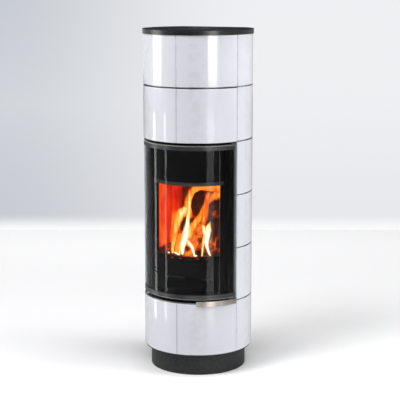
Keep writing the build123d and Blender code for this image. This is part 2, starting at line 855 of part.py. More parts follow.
# ---------------------------------------------------------------- ash pan
def make_ash_pan():
    """The open pan under the grate, with a turned-over lip to pull it by."""
    pan = block(-pan_half_width, pan_half_width, -pan_front, pan_back, pan_bottom, pan_top)
    pan -= block(
        -pan_half_width + pan_sheet,
        pan_half_width - pan_sheet,
        -pan_front + pan_sheet,
        pan_back - pan_sheet,
        pan_bottom + pan_sheet,
        pan_top + 1,
    )
    half_lip = pan_half_width / 2
    edge = -pan_front - pan_lip
    lip = block(-half_lip, half_lip, edge, -pan_front, pan_top - pan_sheet, pan_top)
    fold = block(-half_lip, half_lip, edge, edge + pan_sheet, pan_top - pan_lip, pan_top)
    return pan + lip + fold


def make_ash_runners():
    """Two folded guides that stand on the body's floor and carry the pan."""
    runners = []
    inner = pan_half_width + runner_side_clearance
    front = -casing_front + 2
    for side in (-1, 1):
        guide_x = sorted((side * inner, side * (inner + runner_sheet)))
        shelf_x = sorted((side * (inner - runner_shelf), side * inner))
        back = pan_back - runner_short_of_pan
        guide_top = pan_bottom + runner_lap
        guide = block(guide_x[0], guide_x[1], front, back, body_floor_top, guide_top)
        shelf = block(shelf_x[0], shelf_x[1], front, back, pan_bottom - runner_sheet, pan_bottom)
        runners.append(guide + shelf)
    return Compound([solid for runner in runners for solid in runner.solids()])


# ---------------------------------------------------------------- door
def rail_section(bottom, top, web_at_top):
    """A rolled channel that holds an edge of the glass. The web is on the door's outside."""
    lip_out = door_radius - rail_lip
    web_from = top - rail_web if web_at_top else bottom
    groove = top - rail_groove_from_edge if web_at_top else bottom + rail_groove_from_edge
    lip = Pos((lip_out + door_radius) / 2, (bottom + top) / 2) * Rectangle(rail_lip, top - bottom)
    web = Pos((rail_inner_radius + door_radius) / 2, web_from + rail_web / 2) * Rectangle(
        door_radius - rail_inner_radius, rail_web
    )
    cut = Pos(door_radius, groove) * Rectangle(2 * rail_groove_depth, rail_groove_width)
    return Plane.XZ * (lip + web - cut)


def make_rail(bottom, top, web_at_top):
    """A curved rail, with the short inner lip between the stiles that the seal sits on."""
    rail = revolve_section(rail_section(bottom, top, web_at_top), -door_half_arc, door_half_arc)
    lip_from = top - rail_web - rail_inner_lip_height if web_at_top else bottom + rail_web
    lip_half = door_half_arc - stile_arc
    inner = curved_block(
        rail_inner_radius,
        rail_inner_radius + rail_inner_lip,
        -lip_half,
        lip_half,
        lip_from,
        lip_from + rail_inner_lip_height,
    )
    return rail + inner


def make_stiles():
    """The upright bars between the rails, behind either end of the glass."""
    latch_side = curved_block(
        rail_inner_radius,
        glass_radius - glass_thickness - seat_clearance,
        door_half_arc - stile_arc,
        door_half_arc,
        door_bottom + rail_web,
        door_top - rail_web,
    )
    return Compound([latch_side, latch_side.mirror(Plane.YZ)])


def make_glass():
    """The bent pane, which stands in the lower rail and ends flush with the rails."""
    return curved_block(
        glass_radius - glass_thickness,
        glass_radius,
        -door_half_arc,
        door_half_arc,
        door_bottom + rail_web + glass_edge_clearance,
        door_top - rail_web - glass_edge_clearance,
    )


def make_seal():
    """The rope seal: one loop along both rails and both stiles."""
    low = (body_floor_bottom + body_floor_top) / 2
    high = (crown_bottom + crown_top) / 2
    outer = seal_mid_angle + seal_arc / 2
    sheet = curved_block(
        seal_radius, seal_radius + seal_size, -outer, outer, low - seal_size / 2, high + seal_size / 2
    )
    inner = seal_mid_angle - seal_arc / 2
    window = curved_block(
        seal_radius - 1, seal_radius + seal_size + 1, -inner, inner, low + seal_size / 2, high - seal_size / 2
    )
    return sheet - window


def make_hinge_pins():
    """The pins under and over the door. The lower one has a collar that carries the door."""
    place = polar(hinge_radius, hinge_angle)
    lower_end = sill_carrier_top + 1.5
    upper_end = lintel_bottom - hinge_washer_clearance
    collar_bottom = door_bottom - hinge_collar_height
    lower = upright_cylinder(hinge_pin_radius, place, lower_end, door_bottom)
    lower += upright_cylinder(hinge_collar_radius, place, collar_bottom, door_bottom)
    upper = upright_cylinder(hinge_pin_radius, place, door_top, upper_end)
    return Compound([*lower.solids(), *upper.solids()])


def make_hinge_brackets():
    """The two bearings on the body: a boss on the lower shelf and a plate under the lintel."""
    place = polar(hinge_radius, hinge_angle)
    hole_radius = hinge_pin_radius + hinge_running_clearance
    boss_top = door_bottom - hinge_collar_height - hinge_washer_clearance
    arm_from = -seat_ring_outer_angle
    arm_to = hinge_angle + degrees(hinge_boss_radius / hinge_radius)
    arm_top = sill_carrier_top + lower_bracket_arm
    lower = curved_block(
        carrier_inner_radius, hinge_radius, arm_from, arm_to, sill_carrier_top, arm_top
    )
    lower += upright_cylinder(hinge_boss_radius, place, sill_carrier_top, boss_top)
    lower -= upright_cylinder(hole_radius, place, sill_carrier_top - 1, boss_top + 1)
    upper_bottom = lintel_bottom - upper_bracket_thickness
    upper = curved_block(
        carrier_inner_radius, hinge_radius, arm_from, arm_to, upper_bottom, lintel_bottom
    )
    upper += upright_cylinder(hinge_boss_radius, place, upper_bottom, lintel_bottom)
    upper -= upright_cylinder(hole_radius, place, upper_bottom - 1, lintel_bottom + 1)
    return Compound([*lower.solids(), *upper.solids()])


# ---------------------------------------------------------------- handle and latch
def make_handle():
    """The bowed grip with its web, pivot boss and the latch hook behind it."""
    grip = curved_block(
        handle_inner_radius,
        handle_inner_radius + handle_thickness,
        handle_left_angle,
        handle_right_angle,
        handle_bottom,
        handle_bottom + handle_height,
    )
    boss_top = handle_boss_bottom + handle_boss_height
    web_bottom = handle_boss_bottom + (handle_boss_height - handle_web_thickness) / 2
    web = curved_block(
        handle_web_inner_radius,
        handle_inner_radius + handle_thickness / 2,
        handle_web_left_angle,
        handle_right_angle,
        web_bottom,
        web_bottom + handle_web_thickness,
    )
    pivot = polar(handle_pivot_radius, handle_pivot_angle)
    boss = upright_cylinder(handle_boss_radius, pivot, handle_boss_bottom, boss_top)
    keeper = polar(keeper_radius, keeper_angle)
    nose_x = keeper[0] - keeper_pin_radius - keeper_clearance
    shank_x = nose_x - hook_notch
    nose_y = keeper[1] + keeper_pin_radius + keeper_clearance
    outline = polygon(
        [
            (shank_x - hook_shank, pivot[1]),
            (shank_x, pivot[1]),
            (shank_x, nose_y),
            (nose_x, nose_y),
            (nose_x, pivot[1] + hook_reach - hook_nose / 2),
            (nose_x - hook_nose / 2, pivot[1] + hook_reach),
            (shank_x - hook_shank, pivot[1] + hook_reach),
        ]
    )
    hook = slab(outline, handle_boss_bottom, boss_top)
    handle = grip + web + boss + hook
    hole_radius = hinge_pin_radius + hinge_running_clearance
    return handle - upright_cylinder(hole_radius, pivot, handle_boss_bottom - 1, boss_top + 1)


def make_handle_pin():
    """The headed pin under the lower rail that the handle turns on."""
    pivot = polar(handle_pivot_radius, handle_pivot_angle)
    pin = upright_cylinder(hinge_pin_radius, pivot, handle_pin_bottom, door_bottom)
    head_top = handle_pin_bottom + handle_pin_head
    return pin + upright_cylinder(handle_pin_head_radius, pivot, handle_pin_bottom, head_top)


def make_latch_keeper():
    """The post on the lower shelf that the hook goes behind."""
    place = polar(keeper_radius, keeper_angle)
    post = upright_cylinder(keeper_pin_radius, place, sill_carrier_top, sill_carrier_top + keeper_height)
    return post + upright_cylinder(
        keeper_base_radius, place, sill_carrier_top, sill_carrier_top + keeper_base
    )


# ---------------------------------------------------------------- the whole stove
def make_stove():
    """Every piece under its node's name."""
    plinth_floor, plinth_wall = make_plinth()
    pieces = {
        "plinth_floor": plinth_floor,
        "plinth_wall": plinth_wall,
        "base_plate": make_base_plate(),
        "tile_carriers": make_tile_carriers(),
        "tile_frame_uprights": make_uprights(),
        "lintel": make_lintel(),
        "back_panel": make_back_panel(),
        "top_plate": make_lid(),
        "casing_walls": make_casing_walls(),
        "body_floor": make_body_floor(),
        "crown_plate": make_crown(),
        "front_frame": make_front_frame(),
        "door_jambs": make_jambs(),
        "log_guard": make_log_guard(),
        "air_deflector": make_air_deflector(),
        "hearth_plate": make_hearth_plate(),
        "hearth_bricks": make_hearth_bricks(),
        "grate": make_grate(),
        "lining_sides": make_lining_sides(),
        "lining_back": make_lining_back(),
        "lower_baffle": make_lower_baffle(),
        "upper_baffle": make_upper_baffle(),
        "flue_collar": make_flue_collar(),
        "flue_pipe": make_flue_pipe(),
        "stone_shelf": make_stone_shelf(),
        "storage_stones": make_storage_stones(),
        "air_box": make_air_box(),
        "air_damper": make_air_damper(),
        "air_inlet": make_air_inlet(),
        "ash_pan": make_ash_pan(),
        "ash_runners": make_ash_runners(),
        "door_rail_top": make_rail(door_top - rail_height, door_top, True),
        "door_rail_bottom": make_rail(door_bottom, door_bottom + rail_height, False),
        "door_stiles": make_stiles(),
        "door_glass": make_glass(),
        "door_seal": make_seal(),
        "hinge_pins": make_hinge_pins(),
        "hinge_brackets": make_hinge_brackets(),
        "handle": make_handle(),
        "handle_pin": make_handle_pin(),
        "latch_keeper": make_latch_keeper(),
    }
    pieces.update(make_tiles())
    return pieces


os.makedirs("parts", exist_ok=True)
for name, piece in make_stove().items():
    export_step(piece, f"parts/{name}.step")
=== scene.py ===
"""Finishes a tall, round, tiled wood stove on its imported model, and sets it in a plain studio.

All lengths are metres in the stove's own frame: +Z is up, the door faces -Y and the origin is
on the floor, on the axis of the tiled cylinder. An angle in plan starts at the front and grows
towards +X. Each sub-assembly is a class with its sizes as fields, each finish is a dataclass,
and main() works through the sub-assemblies, then lights the fire and builds the studio.
"""

from __future__ import annotations

import json
import logging
import math
from dataclasses import dataclass, field
from enum import Enum
from typing import Any, Iterable, Sequence

import bmesh
import bpy
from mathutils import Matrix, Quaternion, Vector, noise

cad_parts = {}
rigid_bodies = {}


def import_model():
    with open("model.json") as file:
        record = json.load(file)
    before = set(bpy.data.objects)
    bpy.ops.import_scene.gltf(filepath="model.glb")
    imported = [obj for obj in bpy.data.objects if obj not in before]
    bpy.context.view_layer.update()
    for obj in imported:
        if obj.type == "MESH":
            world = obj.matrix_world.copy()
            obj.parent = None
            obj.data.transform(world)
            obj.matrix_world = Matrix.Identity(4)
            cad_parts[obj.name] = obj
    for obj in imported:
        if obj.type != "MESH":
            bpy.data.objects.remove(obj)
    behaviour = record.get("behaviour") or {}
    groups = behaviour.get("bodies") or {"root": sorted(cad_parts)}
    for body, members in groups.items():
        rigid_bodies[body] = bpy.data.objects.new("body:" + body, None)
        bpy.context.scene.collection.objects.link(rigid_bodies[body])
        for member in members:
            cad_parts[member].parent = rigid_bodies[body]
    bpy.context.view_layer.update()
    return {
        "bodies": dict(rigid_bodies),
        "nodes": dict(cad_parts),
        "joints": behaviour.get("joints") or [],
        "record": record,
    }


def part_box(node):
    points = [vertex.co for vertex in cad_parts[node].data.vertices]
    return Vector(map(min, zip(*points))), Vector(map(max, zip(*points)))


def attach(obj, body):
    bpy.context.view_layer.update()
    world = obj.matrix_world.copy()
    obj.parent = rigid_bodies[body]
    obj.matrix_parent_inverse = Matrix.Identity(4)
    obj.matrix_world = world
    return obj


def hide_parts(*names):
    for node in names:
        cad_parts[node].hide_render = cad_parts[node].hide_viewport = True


log = logging.getLogger("stove")

HEAT, COVER = "burning", "cover"  # what a flame's mesh holds on its points
MM = 0.001  # a millimetre in metres
CORNERS = ((-1.0, -1.0), (1.0, -1.0), (1.0, 1.0), (-1.0, 1.0))
Colour = tuple[float, float, float]
WHITE: Colour = (1.0, 1.0, 1.0)


# ------------------------------------------------------------------ small helpers


def on_circle(turn: float, radius: float, z: float) -> Vector:
    """The point on a level circle about the stove's axis, turned by radians from the front."""
    return Vector((radius * math.sin(turn), -radius * math.cos(turn), z))


def smooth(low: float, high: float, value: float) -> float:
    """The smooth step from 0 at low to 1 at high."""
    share = min(max((value - low) / (high - low), 0.0), 1.0)
    return share * share * (3.0 - 2.0 * share)


def blend_along(stops: Sequence[Sequence[float]], share: float) -> list[float]:
    """A Catmull-Rom curve through rows of numbers.

    Args:
        stops: The rows, evenly spaced along the curve.
        share: How far along, 0 to 1.

    Returns:
        The row of numbers at that place.
    """
    last = len(stops) - 1
    place = min(max(share, 0.0), 1.0) * last
    index = min(int(place), last - 1)
    t = place - index
    before, here, there, after = (stops[min(max(index + step, 0), last)] for step in (-1, 0, 1, 2))
    return [
        0.5 * (2 * b + (c - a) * t + (2 * a - 5 * b + 4 * c - d) * t**2 + (3 * b - a - 3 * c + d) * t**3)
        for a, b, c, d in zip(before, here, there, after)
    ]


def link_mesh(name: str, mesh: bpy.types.Mesh) -> bpy.types.Object:
    """Puts a mesh into the scene as an object at the origin.

    Args:
        name: The object's name.
        mesh: The mesh, with its place in it.

    Returns:
        The object.
    """
    made = bpy.data.objects.new(name, mesh)
    bpy.context.scene.collection.objects.link(made)
    return made


def mesh_from(bm: bmesh.types.BMesh, name: str) -> bpy.types.Mesh:
    """Turns a bmesh into a smooth mesh with merged doubles and outward faces.

    Args:
        bm: The geometry, which is freed.
        name: The mesh's name.

    Returns:
        The mesh.
    """
    bmesh.ops.remove_doubles(bm, verts=bm.verts, dist=1e-6)
    bmesh.ops.recalc_face_normals(bm, faces=bm.faces)
    mesh = bpy.data.meshes.new(name)
    bm.to_mesh(mesh)
    bm.free()
    for face in mesh.polygons:
        face.use_smooth = True
    return mesh


def skin(bm: bmesh.types.BMesh, rows: Sequence[Sequence[bmesh.types.BMVert]], finish: int = 0) -> None:
    """Spans quads between rows of points that each close on themselves.

    Args:
        bm: The geometry that gets the faces.
        rows: The rows, all of one length.
        finish: The number of the faces' material.
    """
    for low, high in zip(rows, rows[1:]):
        for step in range(len(low)):
            after = (step + 1) % len(low)
            face = bm.faces.new((low[step], low[after], high[after], high[step]))
            face.material_index = finish


# ------------------------------------------------------------------ node trees


class Tree:
    """A thin hand on a node tree: it adds nodes, sets their inputs and links them."""

    def __init__(self, tree: bpy.types.NodeTree) -> None:
        """Takes the tree in hand."""
        self.tree = tree

    def add(self, kind: str, inputs: dict[Any, Any] | None = None, **settings: Any) -> bpy.types.Node:
        """Adds a node.

        Args:
            kind: The node's type.
            inputs: Values or output sockets for its inputs, by name or number.
            **settings: The node's own properties.

        Returns:
            The node.
        """
        made = self.tree.nodes.new(kind)
        for name, value in settings.items():
            setattr(made, name, value)
        for key, value in (inputs or {}).items():
            self.feed(made.inputs[key], value)
        return made

    def feed(self, socket: bpy.types.NodeSocket, value: Any) -> None:
        """Links an output socket to an input, or sets the input's value.

        Args:
            socket: The input.
            value: The output socket or the value; a colour needs no alpha.
        """
        if isinstance(value, bpy.types.NodeSocket):
            self.tree.links.new(value, socket)
        elif socket.type == "RGBA":
            socket.default_value = (*value[:3], 1.0)
        else:
            socket.default_value = value

    def math(self, operation: str, *values: Any, clamp: bool = False) -> bpy.types.NodeSocket:
        """The result of a Math node on up to three values or sockets."""
        inputs = dict(enumerate(values))
        return self.add("ShaderNodeMath", inputs, operation=operation, use_clamp=clamp).outputs[0]

    def vector(self, operation: str, first: Any, second: Any) -> bpy.types.NodeSocket:
        """The result of a Vector Math node on two vectors, which is a number for a dot product."""
        made = self.add("ShaderNodeVectorMath", {0: first, 1: second}, operation=operation)
        return made.outputs["Value" if operation == "DOT_PRODUCT" else "Vector"]

    def scaled(self, vector: Any, amount: Any) -> bpy.types.NodeSocket:
        """A vector times a number."""
        return self.add("ShaderNodeVectorMath", {0: vector, "Scale": amount}, operation="SCALE").outputs[0]

    def split(self, vector: Any) -> list[bpy.types.NodeSocket]:
        """The three numbers of a vector."""
        return list(self.add("ShaderNodeSeparateXYZ", {0: vector}).outputs)

    def remap(self, value: Any, low: float, high: float, to_low: float = 0.0, to_high: float = 1.0) -> Any:
        """A value mapped smoothly from one range onto another."""
        inputs = {"Value": value, "From Min": low, "From Max": high, "To Min": to_low, "To Max": to_high}
        return self.add("ShaderNodeMapRange", inputs, interpolation_type="SMOOTHSTEP").outputs["Result"]

    def mix(self, factor: Any, first: Any, second: Any) -> bpy.types.NodeSocket:
        """Two colours mixed by a factor."""
        return self.add("ShaderNodeMix", {0: factor, 6: first, 7: second}, data_type="RGBA").outputs[2]

    def ramp(self, factor: Any, *stops: tuple[float, Colour]) -> bpy.types.NodeSocket:
        """A colour ramp.

        Args:
            factor: What is looked up, 0 to 1.
            *stops: The ramp's places and their colours.

        Returns:
            The colour.
        """
        made = self.add("ShaderNodeValToRGB", {"Fac": factor})
        elements = made.color_ramp.elements
        while len(elements) < len(stops):
            elements.new(0.5)
        for element, (place, colour) in zip(elements, stops):
            element.position = place
            element.color = (*colour, 1.0)
        return made.outputs["Color"]

    def object_place(self) -> bpy.types.NodeSocket:
        """Object coordinates."""
        return self.add("ShaderNodeTexCoord").outputs["Object"]

    def drawn_out(self, upright: Any) -> bpy.types.NodeSocket:
        """Object coordinates whose height is multiplied, so that a pattern is drawn out upwards."""
        scale = self.add("ShaderNodeCombineXYZ", {0: 1.0, 1: 1.0, 2: upright}).outputs[0]
        return self.vector("MULTIPLY", self.object_place(), scale)

    def clouds(self, place: Any, scale: Any, detail: float = 3.0, roughness: float = 0.55) -> Any:
        """The value of a Noise texture."""
        inputs = {"Vector": place, "Scale": scale, "Detail": detail, "Roughness": roughness}
        return self.add("ShaderNodeTexNoise", inputs).outputs["Fac"]


class SocketKind(Enum):
    """The kinds of socket that a group here can have."""

    NUMBER = "NodeSocketFloat"
    WHOLE = "NodeSocketInt"
    COLOUR = "NodeSocketColor"
    VECTOR = "NodeSocketVector"
    GEOMETRY = "NodeSocketGeometry"
    MATERIAL = "NodeSocketMaterial"


def new_group(
    kind: str,
    name: str,
    inputs: Iterable[tuple[str, SocketKind, Any]],
    outputs: Iterable[tuple[str, SocketKind]],
) -> tuple[Tree, bpy.types.Node, bpy.types.Node]:
    """Starts a node group with named inputs and outputs.

    Args:
        kind: The tree's type.
        name: The group's name.
        inputs: Name, kind and default value of each input.
        outputs: Name and kind of each output.

    Returns:
        The tree, its input node and its output node.
    """
    group = bpy.data.node_groups.new(name, kind)
    for label, socket_kind, value in inputs:
        socket = group.interface.new_socket(label, in_out="INPUT", socket_type=socket_kind.value)
        if value is not None:
            socket.default_value = value
    for label, socket_kind in outputs:
        group.interface.new_socket(label, in_out="OUTPUT", socket_type=socket_kind.value)
    tree = Tree(group)
    return tree, tree.add("NodeGroupInput"), tree.add("NodeGroupOutput")


def end_shape(tree: Tree, out: bpy.types.Node, shape: Any, material: Any) -> bpy.types.NodeTree:
    """Ends a geometry node tree.

    Args:
        tree: The tree in hand.
        out: Its output node.
        shape: The geometry, with or without instances.
        material: The socket of its material.

    Returns:
        The finished tree.
    """
    joined = tree.add("GeometryNodeRealizeInstances", {"Geometry": shape}).outputs["Geometry"]
    dressed = tree.add("GeometryNodeSetMaterial", {"Geometry": joined, "Material": material})
    tree.feed(out.inputs["Geometry"], dressed.outputs["Geometry"])
    return tree.tree


class Effects:
    """The surface effects that several finishes share, each a shader group that is built once."""

    def __init__(self) -> None:
        """Builds every group."""
        self.mottle = self._mottle()
        self.relief = self._relief()
        self.worn_edge = self._worn_edge()
        self.dust = self._dust()
        self.brushed = self._brushed()

    @staticmethod
    def _mottle() -> bpy.types.NodeTree:
        """Soft patches of a second colour, as paint, cast iron or stone have.

        Returns:
            The group.
        """
        tree, given, out = new_group(
            "ShaderNodeTree",
            "soft_mottle",
            [
                ("Colour", SocketKind.COLOUR, (0.5, 0.5, 0.5, 1.0)),
                ("Patch Colour", SocketKind.COLOUR, (0.4, 0.4, 0.4, 1.0)),
                ("Scale", SocketKind.NUMBER, 12.0),
                ("Stretch", SocketKind.NUMBER, 1.0),
                ("Contrast", SocketKind.NUMBER, 1.0),
            ],
            [("Colour", SocketKind.COLOUR), ("Mask", SocketKind.NUMBER)],
        )
        place = tree.drawn_out(tree.math("DIVIDE", 1.0, given.outputs["Stretch"]))
        patches = tree.clouds(place, given.outputs["Scale"], detail=4.0)
        mask = tree.remap(patches, 0.36, 0.66)
        strength = tree.math("MULTIPLY", mask, given.outputs["Contrast"], clamp=True)
        colour = tree.mix(strength, given.outputs["Colour"], given.outputs["Patch Colour"])
        tree.feed(out.inputs["Colour"], colour)
        tree.feed(out.inputs["Mask"], strength)
        return tree.tree

    @staticmethod
    def _relief() -> bpy.types.NodeTree:
        """A fine relief as a normal: the orange peel of paint, the grain of iron or board.

        Returns:
            The group.
        """
        tree, given, out = new_group(
            "ShaderNodeTree",
            "fine_relief",
            [
                ("Scale", SocketKind.NUMBER, 600.0),
                ("Stretch", SocketKind.NUMBER, 1.0),
                ("Depth", SocketKind.NUMBER, 0.0001),
                ("Strength", SocketKind.NUMBER, 0.3),
            ],
            [("Normal", SocketKind.VECTOR), ("Height", SocketKind.NUMBER)],
        )
        place = tree.drawn_out(tree.math("DIVIDE", 1.0, given.outputs["Stretch"]))
        height = tree.clouds(place, given.outputs["Scale"], detail=2.0)
        inputs = {"Strength": given.outputs["Strength"], "Distance": given.outputs["Depth"], "Height": height}
        tree.feed(out.inputs["Normal"], tree.add("ShaderNodeBump", inputs).outputs["Normal"])
        tree.feed(out.inputs["Height"], height)
        return tree.tree

    @staticmethod
    def _worn_edge() -> bpy.types.NodeTree:
        """A mask that picks out rubbed outer edges, broken up by noise.

        Returns:
            The group.
        """
        tree, given, out = new_group(
            "ShaderNodeTree",
            "worn_edge",
            [("Width", SocketKind.NUMBER, 0.5), ("Break Up", SocketKind.NUMBER, 60.0)],
            [("Mask", SocketKind.NUMBER)],
        )
        point = tree.add("ShaderNodeNewGeometry").outputs["Pointiness"]
        edge = tree.remap(point, 0.505, 0.56)
        broken = tree.clouds(tree.object_place(), given.outputs["Break Up"], detail=4.0)
        rubbed = tree.remap(broken, 0.42, 0.62)
        wide = tree.math("MULTIPLY", edge, given.outputs["Width"])
        tree.feed(out.inputs["Mask"], tree.math("MULTIPLY", wide, rubbed, clamp=True))
        return tree.tree

    @staticmethod
    def _dust() -> bpy.types.NodeTree:
        """A mask of dust that settles on faces that look upwards.

        Returns:
            The group.
        """
        tree, given, out = new_group(
            "ShaderNodeTree",
            "settled_dust",
            [("Amount", SocketKind.NUMBER, 0.2), ("Scale", SocketKind.NUMBER, 30.0)],
            [("Mask", SocketKind.NUMBER)],
        )
        facing = tree.add("ShaderNodeNewGeometry").outputs["Normal"]
        lying = tree.remap(tree.split(facing)[2], 0.5, 0.95)
        drift = tree.remap(tree.clouds(tree.object_place(), given.outputs["Scale"], detail=5.0), 0.3, 0.7)
        amount = tree.math("MULTIPLY", lying, given.outputs["Amount"])
        tree.feed(out.inputs["Mask"], tree.math("MULTIPLY", amount, drift, clamp=True))
        return tree.tree

    @staticmethod
    def _brushed() -> bpy.types.NodeTree:
        """The fine parallel scratches of brushed sheet, across the given stretch.

        Returns:
            The group.
        """
        tree, given, out = new_group(
            "ShaderNodeTree",
            "brushed_grain",
            [
                ("Scale", SocketKind.NUMBER, 40.0),
                ("Across", SocketKind.NUMBER, 40.0),
                ("Low Roughness", SocketKind.NUMBER, 0.2),
                ("High Roughness", SocketKind.NUMBER, 0.4),
                ("Depth", SocketKind.NUMBER, 0.00004),
            ],
            [("Roughness", SocketKind.NUMBER), ("Normal", SocketKind.VECTOR), ("Grain", SocketKind.NUMBER)],
        )
        place = tree.drawn_out(given.outputs["Across"])
        grain = tree.clouds(place, given.outputs["Scale"], detail=6.0, roughness=0.7)
        low, high = given.outputs["Low Roughness"], given.outputs["High Roughness"]
        span = tree.math("SUBTRACT", high, low)
        tree.feed(out.inputs["Roughness"], tree.math("MULTIPLY_ADD", grain, span, low))
        inputs = {"Strength": 0.5, "Distance": given.outputs["Depth"], "Height": grain}
        tree.feed(out.inputs["Normal"], tree.add("ShaderNodeBump", inputs).outputs["Normal"])
        tree.feed(out.inputs["Grain"], grain)
        return tree.tree


class Surface(Tree):
    """A material under construction, empty at first."""

    def __init__(self, name: str) -> None:
        """Starts the material.

        Args:
            name: The material's name.
        """
        self.material = bpy.data.materials.new(name)
        self.material.use_nodes = True
        super().__init__(self.material.node_tree)
        self.tree.nodes.clear()
        self.output = self.add("ShaderNodeOutputMaterial")

    def show(self, shader: bpy.types.NodeSocket) -> bpy.types.Material:
        """Links a shader to the material's one output and returns the material."""
        self.feed(self.output.inputs["Surface"], shader)
        return self.material

    def choose(self, mask: Any, first: Any, second: Any) -> bpy.types.Material:
        """Shows one shader where a mask is 0 and another where it is 1."""
        return self.show(self.add("ShaderNodeMixShader", {0: mask, 1: first, 2: second}).outputs[0])

    def glow(self, colour: Any, strength: float = 1.0) -> bpy.types.NodeSocket:
        """A shader that only gives light."""
        return self.add("ShaderNodeEmission", {"Color": colour, "Strength": strength}).outputs[0]

    def clear(self) -> bpy.types.NodeSocket:
        """A shader that lets everything through."""
        return self.add("ShaderNodeBsdfTransparent").outputs[0]


class Shader(Surface):
    """A finish under construction, with its Principled shader at hand."""

    def __init__(self, name: str) -> None:
        """Starts the finish.

        Args:
            name: The finish's name.
        """
        super().__init__(name)
        self.surface = self.add("ShaderNodeBsdfPrincipled")
        self.show(self.surface.outputs["BSDF"])

    def effect(self, group: bpy.types.NodeTree, **inputs: Any) -> bpy.types.Node:
        """Places a shared effect; an input's name has underscores for spaces."""
        named = {name.replace("_", " "): value for name, value in inputs.items()}
        return self.add("ShaderNodeGroup", named, node_tree=group)

    def set(self, **inputs: Any) -> None:
        """Sets or links inputs of the Principled shader."""
        for name, value in inputs.items():
            self.feed(self.surface.inputs[name.replace("_", " ")], value)


# ------------------------------------------------------------------ finishes


@dataclass(frozen=True)
class Finish:
    """A finish of one name, which each kind of finish paints in its own way."""

    name: str

    def build(self, effects: Effects) -> bpy.types.Material:
        """Makes the finish a material.

        Args:
            effects: The shared effects.

        Returns:
            The material.
        """
        shader = Shader(self.name)
        self.paint(shader, effects)
        return shader.material

    def paint(self, shader: Shader, effects: Effects) -> None:
        """Leaves the shader plain."""


@dataclass(frozen=True)
class GlazedTile(Finish):
    """A cool white glaze, thick and glossy, with the slight drawn-down ripple of a poured glaze."""

    name: str = "white_glaze"
    body: Colour = (0.77, 0.78, 0.83)
    thin: Colour = (0.76, 0.77, 0.825)
    edge: Colour = (0.66, 0.67, 0.70)
    # Painted shade: the dark tone laid on the tile edges inside the level joints.
    joint: Colour = (0.12, 0.12, 0.125)
    gloss: float = 0.09
    ripple: float = 0.0006
    ripple_scale: float = 55.0
    ripple_upright: float = 0.16

    def paint(self, shader: Shader, effects: Effects) -> None:
        """Lays a soft body under a clear, rippled coat, with painted shade where the tiles meet in level
        joints.

        Args:
            shader: The finish under construction.
            effects: The shared effects.
        """
        tones = {"Colour": self.body, "Patch_Colour": self.thin}
        pool = shader.effect(effects.mottle, **tones, Scale=7.0, Contrast=0.5)
        drawn = shader.clouds(shader.drawn_out(self.ripple_upright), self.ripple_scale)
        inputs = {"Strength": 0.25, "Distance": self.ripple, "Height": drawn}
        rippled = shader.add("ShaderNodeBump", inputs).outputs["Normal"]
        edge = shader.effect(effects.worn_edge, Width=0.6, Break_Up=25.0)
        colour = shader.mix(edge.outputs["Mask"], pool.outputs["Colour"], self.edge)
        # Painted shade: faces that look up or down, the rounded tile edges inside the level joints, are
        # darkened.
        facing = shader.add("ShaderNodeNewGeometry").outputs["Normal"]
        level = shader.math("ABSOLUTE", shader.split(facing)[2])
        colour = shader.mix(shader.remap(level, 0.22, 0.6), colour, self.joint)
        shader.set(Base_Color=colour, Roughness=0.32, Specular_IOR_Level=0.12, Normal=rippled)
        shader.set(Coat_Weight=1.0, Coat_Roughness=self.gloss, Coat_IOR=1.5, Coat_Normal=rippled)


@dataclass(frozen=True)
class Paint(Finish):
    """Heat-proof paint on steel: a fine orange peel, soft patches and rubbed edges."""

    colour: Colour
    patch: Colour
    rubbed: Colour = (0.12, 0.12, 0.125)
    settled: Colour = (0.35, 0.34, 0.33)
    roughness: float = 0.5
    peel: float = 0.0001
    peel_scale: float = 900.0
    dust: float = 0.05
    specular: float = 0.5

    def paint(self, shader: Shader, effects: Effects) -> None:
        """Lays on the paint, with its peel, its wear, its dust and any painted edge highlight.

        Args:
            shader: The finish under construction.
            effects: The shared effects.
        """
        tones = {"Colour": self.colour, "Patch_Colour": self.patch}
        patches = shader.effect(effects.mottle, **tones, Scale=9.0, Contrast=0.8)
        worn = shader.effect(effects.worn_edge, Width=0.5, Break_Up=70.0)
        dust = shader.effect(effects.dust, Amount=self.dust, Scale=26.0)
        peel = shader.effect(effects.relief, Scale=self.peel_scale, Depth=self.peel, Strength=0.35)
        colour = shader.mix(worn.outputs["Mask"], patches.outputs["Colour"], self.rubbed)
        colour = self.edge_lit(shader, shader.mix(dust.outputs["Mask"], colour, self.settled))
        dull, bright = self.roughness + 0.03, self.roughness - 0.02
        rough = shader.remap(patches.outputs["Mask"], 0.0, 1.0, bright, dull)
        shader.set(Base_Color=colour, Roughness=rough, Normal=peel.outputs["Normal"])
        shader.set(Specular_IOR_Level=self.specular)

    def edge_lit(self, shader: Shader, colour: bpy.types.NodeSocket) -> bpy.types.NodeSocket:
        """The colour as it is, since this paint has no painted edge highlight."""
        return colour


@dataclass(frozen=True)
class RailPaint(Paint):
    """Paint with a painted highlight, a pale band along the outer edges of the door's two rails."""

    # Painted highlight: the pale colour of the thin bands on the rails' outer edges.
    edge_highlight: Colour = (0.5, 0.49, 0.46)
    lower_edge: float = 0.0017
    upper_edge: float = 0.0014

    def edge_lit(self, shader: Shader, colour: bpy.types.NodeSocket) -> bpy.types.NodeSocket:
        """The colour with a painted highlight under the lower rail and on top of the upper one.

        Args:
            shader: The finish under construction.
            colour: The paint's colour.

        Returns:
            The colour of both.
        """
        bottom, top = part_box("door_rail_bottom")[0].z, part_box("door_rail_top")[1].z
        height = shader.split(shader.object_place())[2]
        # Painted highlight: a pale band along the lower rail's bottom edge and the upper rail's top edge.
        under = shader.math("LESS_THAN", height, bottom + self.lower_edge)
        over = shader.math("GREATER_THAN", height, top - self.upper_edge)
        return shader.mix(shader.math("MAXIMUM", under, over), colour, self.edge_highlight)


